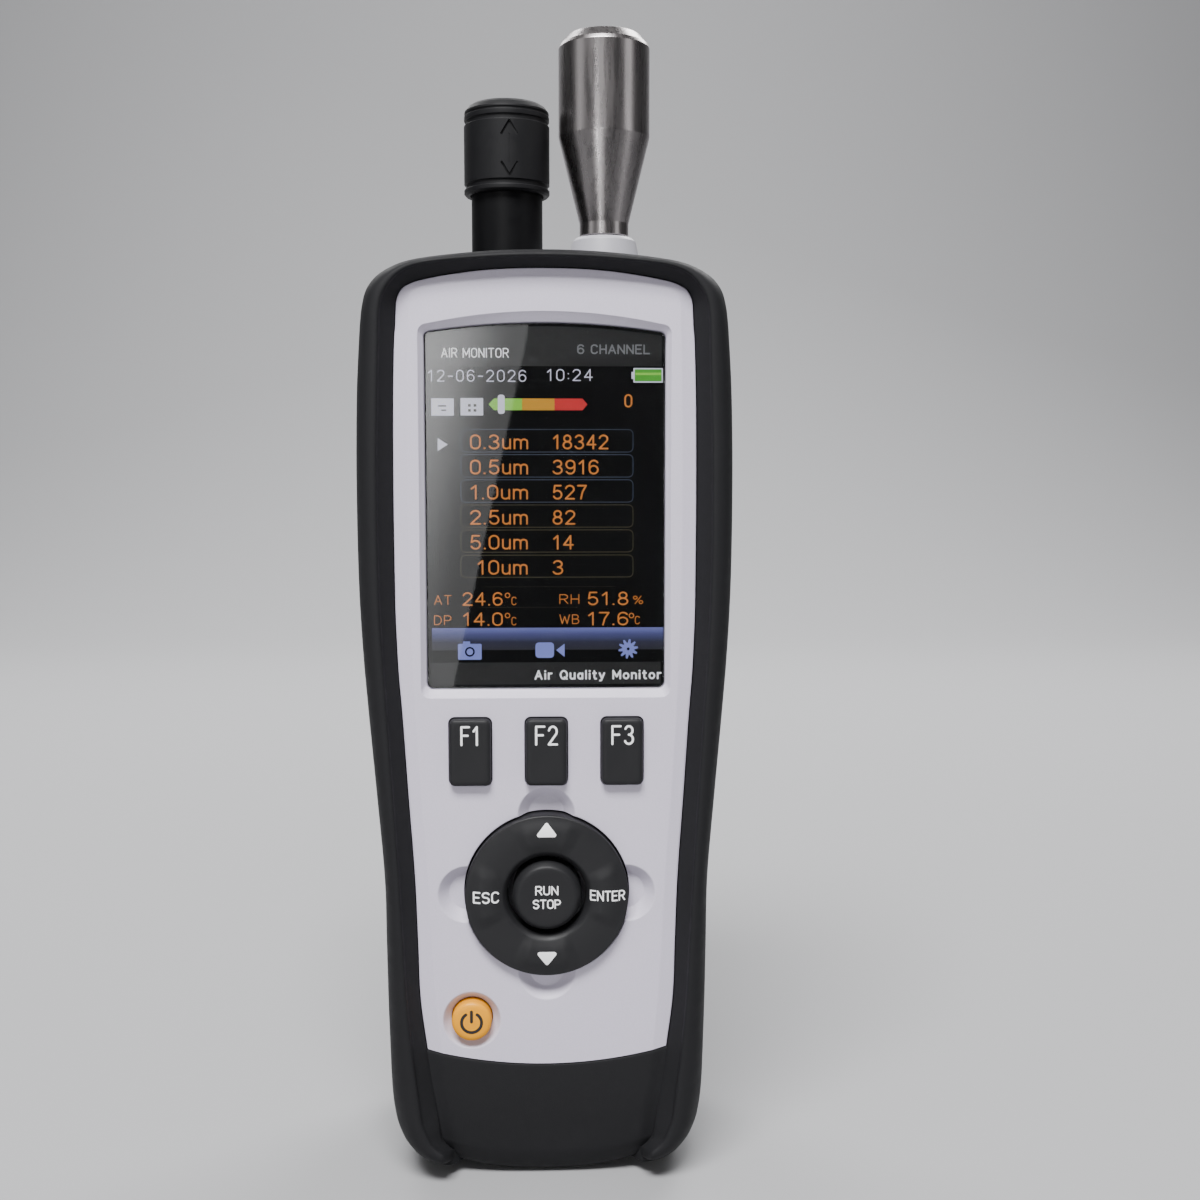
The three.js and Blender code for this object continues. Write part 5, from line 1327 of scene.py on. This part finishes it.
prof = rounded([(5.6, 24.6), (8.0, 24.6, 0.1), (8.0, 28.2, 0.3), (7.4, 28.42, 0.2), (6.2, 28.3, 0.3), (5.35, 27.3, 0.2), (5.3, 26.0), (3.4, 26.0), (3.4, 24.6)], closed=True, k=4)
piece(spin("camera_ring", prof, 96, "y", 0, CAM_Z, closed=True), "housing", M_BLACKGLOSS, ["camera_bezel"], angle=35)
lens_mat = material("lens_coated", (0.003, 0.004, 0.01), 0.05, tone=0.0, rough_var=0.01, spec=0.3)
prof = [(0, 26.3), (4.9, 26.3), (5.0, 26.4), (5.0, 26.75)] + [(5.0 * math.cos(t), 26.75 + 0.62 * math.sin(t)) for t in np.linspace(0.1, math.pi / 2, 12)]
prof[-1] = (0, prof[-1][1])
piece(spin("camera_front_lens", prof, 72, "y", 0, CAM_Z), "housing", lens_mat, ["camera_lens"], angle=35)

# port flap, cut from the same skin
flap = box("port_cover", -60, -30, FLAP[0], FLAP[1], FLAP[2], FLAP[3])
cut(flap, loft("t", rear_rings(0.0, -9.5, 0.0, fine=False)), op="INTERSECT")
cut(flap, loft("t", rear_rings(2.0, -9.5, -3, fine=False)))
cut(flap, rbox("t", -40, -36.75, -3.0, -0.75, 111.5, 124.5, 0.45, 4, axis="x"))       # finger notch at the free edge
piece(flap, "flap", M_FLAP, ["port_flap"], angle=40)

# ------------------------------------------------------------------ CAD nodes that stay get their finish
FIN = {"stand_hinge_pin": M_SCREW, "camera_module": M_BLACKGLOSS, "dc_jack": M_BLACKGLOSS, "card_socket": M_SCREW, "usb_port": M_SCREW,
       "port_board": M_BOARD, "display_gasket": M_FOAM, "display_module": M_BACKING, "dpad_rocker_web": M_MAT, "keypad_mat": M_MAT, "key_board": M_BOARD,
       "main_board": M_BOARD, "buzzer": M_STEM, "sensor_element": M_BOARD, "inlet_tube": M_SILICONE, "optical_chamber": M_ALU, "laser_diode": M_BRASS,
       "photodetector": M_GILT, "suction_tube": M_SILICONE, "pump_head": M_STEM, "pump_eccentric": M_SCREW, "pump_motor": M_ALU, "exhaust_tube": M_SILICONE,
       "exhaust_filter": M_FILTER, "battery_pack": M_SLEEVE, "battery_contacts": M_GILT}
for node, m in FIN.items():
    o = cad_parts[node]
    if not o.material_slots:
        o.data.materials.append(m)
    for s in o.material_slots:
        s.material = m

# ------------------------------------------------------------------ floor, light, camera
fm = bpy.data.materials.new("studio_floor")
fm.use_nodes = True
fm.node_tree.nodes["Principled BSDF"].inputs["Base Color"].default_value = (0.34, 0.34, 0.35, 1)
fm.node_tree.nodes["Principled BSDF"].inputs["Roughness"].default_value = 0.75
verts, faces = [], []
prof = [(-0.46, 0.0), (0.9, 0.0)] + [(0.9 + 0.9 * math.sin(t), 0.9 * (1 - math.cos(t))) for t in np.linspace(0.08, math.pi / 2, 16)] + [(1.8, 4.0)]
for yy, zz in prof:
    verts += [(-4, yy, zz), (4, yy, zz)]
for i in range(len(prof) - 1):
    faces.append((2 * i, 2 * i + 1, 2 * i + 3, 2 * i + 2))
me = bpy.data.meshes.new("studio_floor")
me.from_pydata(verts, [], faces)
for p in me.polygons:
    p.use_smooth = True
floor = bpy.data.objects.new("studio_floor", me)
SCN.collection.objects.link(floor)
me.materials.append(fm)


def area(name, loc, target, size, power, sy=None, colour=(1, 1, 1), spin_deg=0.0):
    l = bpy.data.lights.new(name, "AREA")
    l.energy, l.size, l.color = power, size, colour
    if sy:
        l.shape, l.size_y = "RECTANGLE", sy
    o = bpy.data.objects.new(name, l)
    o.location = loc
    d = Vector(target) - Vector(loc)
    q = d.to_track_quat("-Z", "Y")
    o.rotation_euler = q.to_euler()
    if spin_deg:
        o.rotation_euler.rotate_axis("Z", math.radians(spin_deg))
    SCN.collection.objects.link(o)
    return o


area("key_overhead", (-0.12, -0.6, 1.03), (0, 0, 0.1), 0.6, 27.2, sy=0.34)
area("fill_left", (-0.95, -0.45, 0.5), (0, 0, 0.13), 0.4, 0.9, sy=0.8)
area("fill_right", (0.95, -0.5, 0.42), (0, 0, 0.12), 0.35, 1.2, sy=0.8)
area("front_strip", (-0.29, -0.85, 0.17), (0.02, 0, 0.17), 0.04, 1.1, sy=0.5)
area("back_key", (0.55, 0.75, 1.05), (0, 0, 0.1), 0.6, 11.0, sy=0.6)
area("back_fill", (-0.5, 0.8, 0.9), (0, 0, 0.12), 0.5, 4.5, sy=0.6)
area("back_wash", (0.0, 0.55, 1.0), (0, 1.3, 0.35), 1.2, 21.0, sy=0.4)

# front card: the window mirrors its slanted right-hand edge
top_r, bot_r = np.array([-9.6, -606.0, 234.0]), np.array([-56.7, -606.0, 14.7])
edge = (top_r - bot_r) / np.linalg.norm(top_r - bot_r)
out = np.array([-edge[2], 0.0, edge[0]])
centre = (top_r + bot_r) / 2 + out * 45 + edge * 20
card = bpy.data.lights.new("front_card", "AREA")
card.shape, card.size, card.size_y, card.energy = "RECTANGLE", 0.09, 0.32, 0.147
card.use_nodes = True
ct = card.node_tree
em = next(n for n in ct.nodes if n.type == "EMISSION")
ge = ct.nodes.new("ShaderNodeNewGeometry")
se = ct.nodes.new("ShaderNodeSeparateXYZ")
ct.links.new(ge.outputs["Parametric"], se.inputs[0])
mu = ct.nodes.new("ShaderNodeMapRange"); mu.interpolation_type = "SMOOTHSTEP"      # brighter away from the slanted edge
mv = ct.nodes.new("ShaderNodeMapRange")                                           # and towards the top
for n_, vals in ((mu, (0.93, 0.36, 0.0, 1.0)), (mv, (0.08, 0.64, 0.22, 1.0))):
    for i_, v_ in enumerate(vals):
        n_.inputs[i_ + 1].default_value = v_
ct.links.new(se.outputs[0], mu.inputs[0]); ct.links.new(se.outputs[1], mv.inputs[0])
mm_ = ct.nodes.new("ShaderNodeMath"); mm_.operation = "MULTIPLY"
ct.links.new(mu.outputs[0], mm_.inputs[0]); ct.links.new(mv.outputs[0], mm_.inputs[1])
ma_ = ct.nodes.new("ShaderNodeMath"); ma_.operation = "MULTIPLY_ADD"
ct.links.new(mm_.outputs[0], ma_.inputs[0]); ma_.inputs[1].default_value = 2.5; ma_.inputs[2].default_value = 0.62
ct.links.new(ma_.outputs[0], em.inputs["Strength"])
co_ = bpy.data.objects.new("front_card", card)
co_.location = (centre * MM).tolist()
co_.rotation_euler = (math.radians(90), 0, 0)
co_.rotation_euler.rotate_axis("Z", -math.atan2(edge[0], edge[2]))
co_.visible_camera = False
SCN.collection.objects.link(co_)
w = bpy.data.worlds.new("studio")
SCN.world = w
w.use_nodes = True
w.node_tree.nodes["Background"].inputs["Color"].default_value = (0.93, 0.94, 0.97, 1)
w.node_tree.nodes["Background"].inputs["Strength"].default_value = 0.052

cam = bpy.data.cameras.new("cam")
cam.sensor_width, cam.sensor_height, cam.sensor_fit = 36, 36, "HORIZONTAL"
cam.lens = 18 / math.tan(math.radians(22.5))
cam.clip_start = 0.01
co = bpy.data.objects.new("cam", cam)
co.location = (CAM_P * MM).tolist()
co.rotation_euler = (math.radians(90) - PITCH, 0, -YAW)
SCN.collection.objects.link(co)
SCN.camera = co
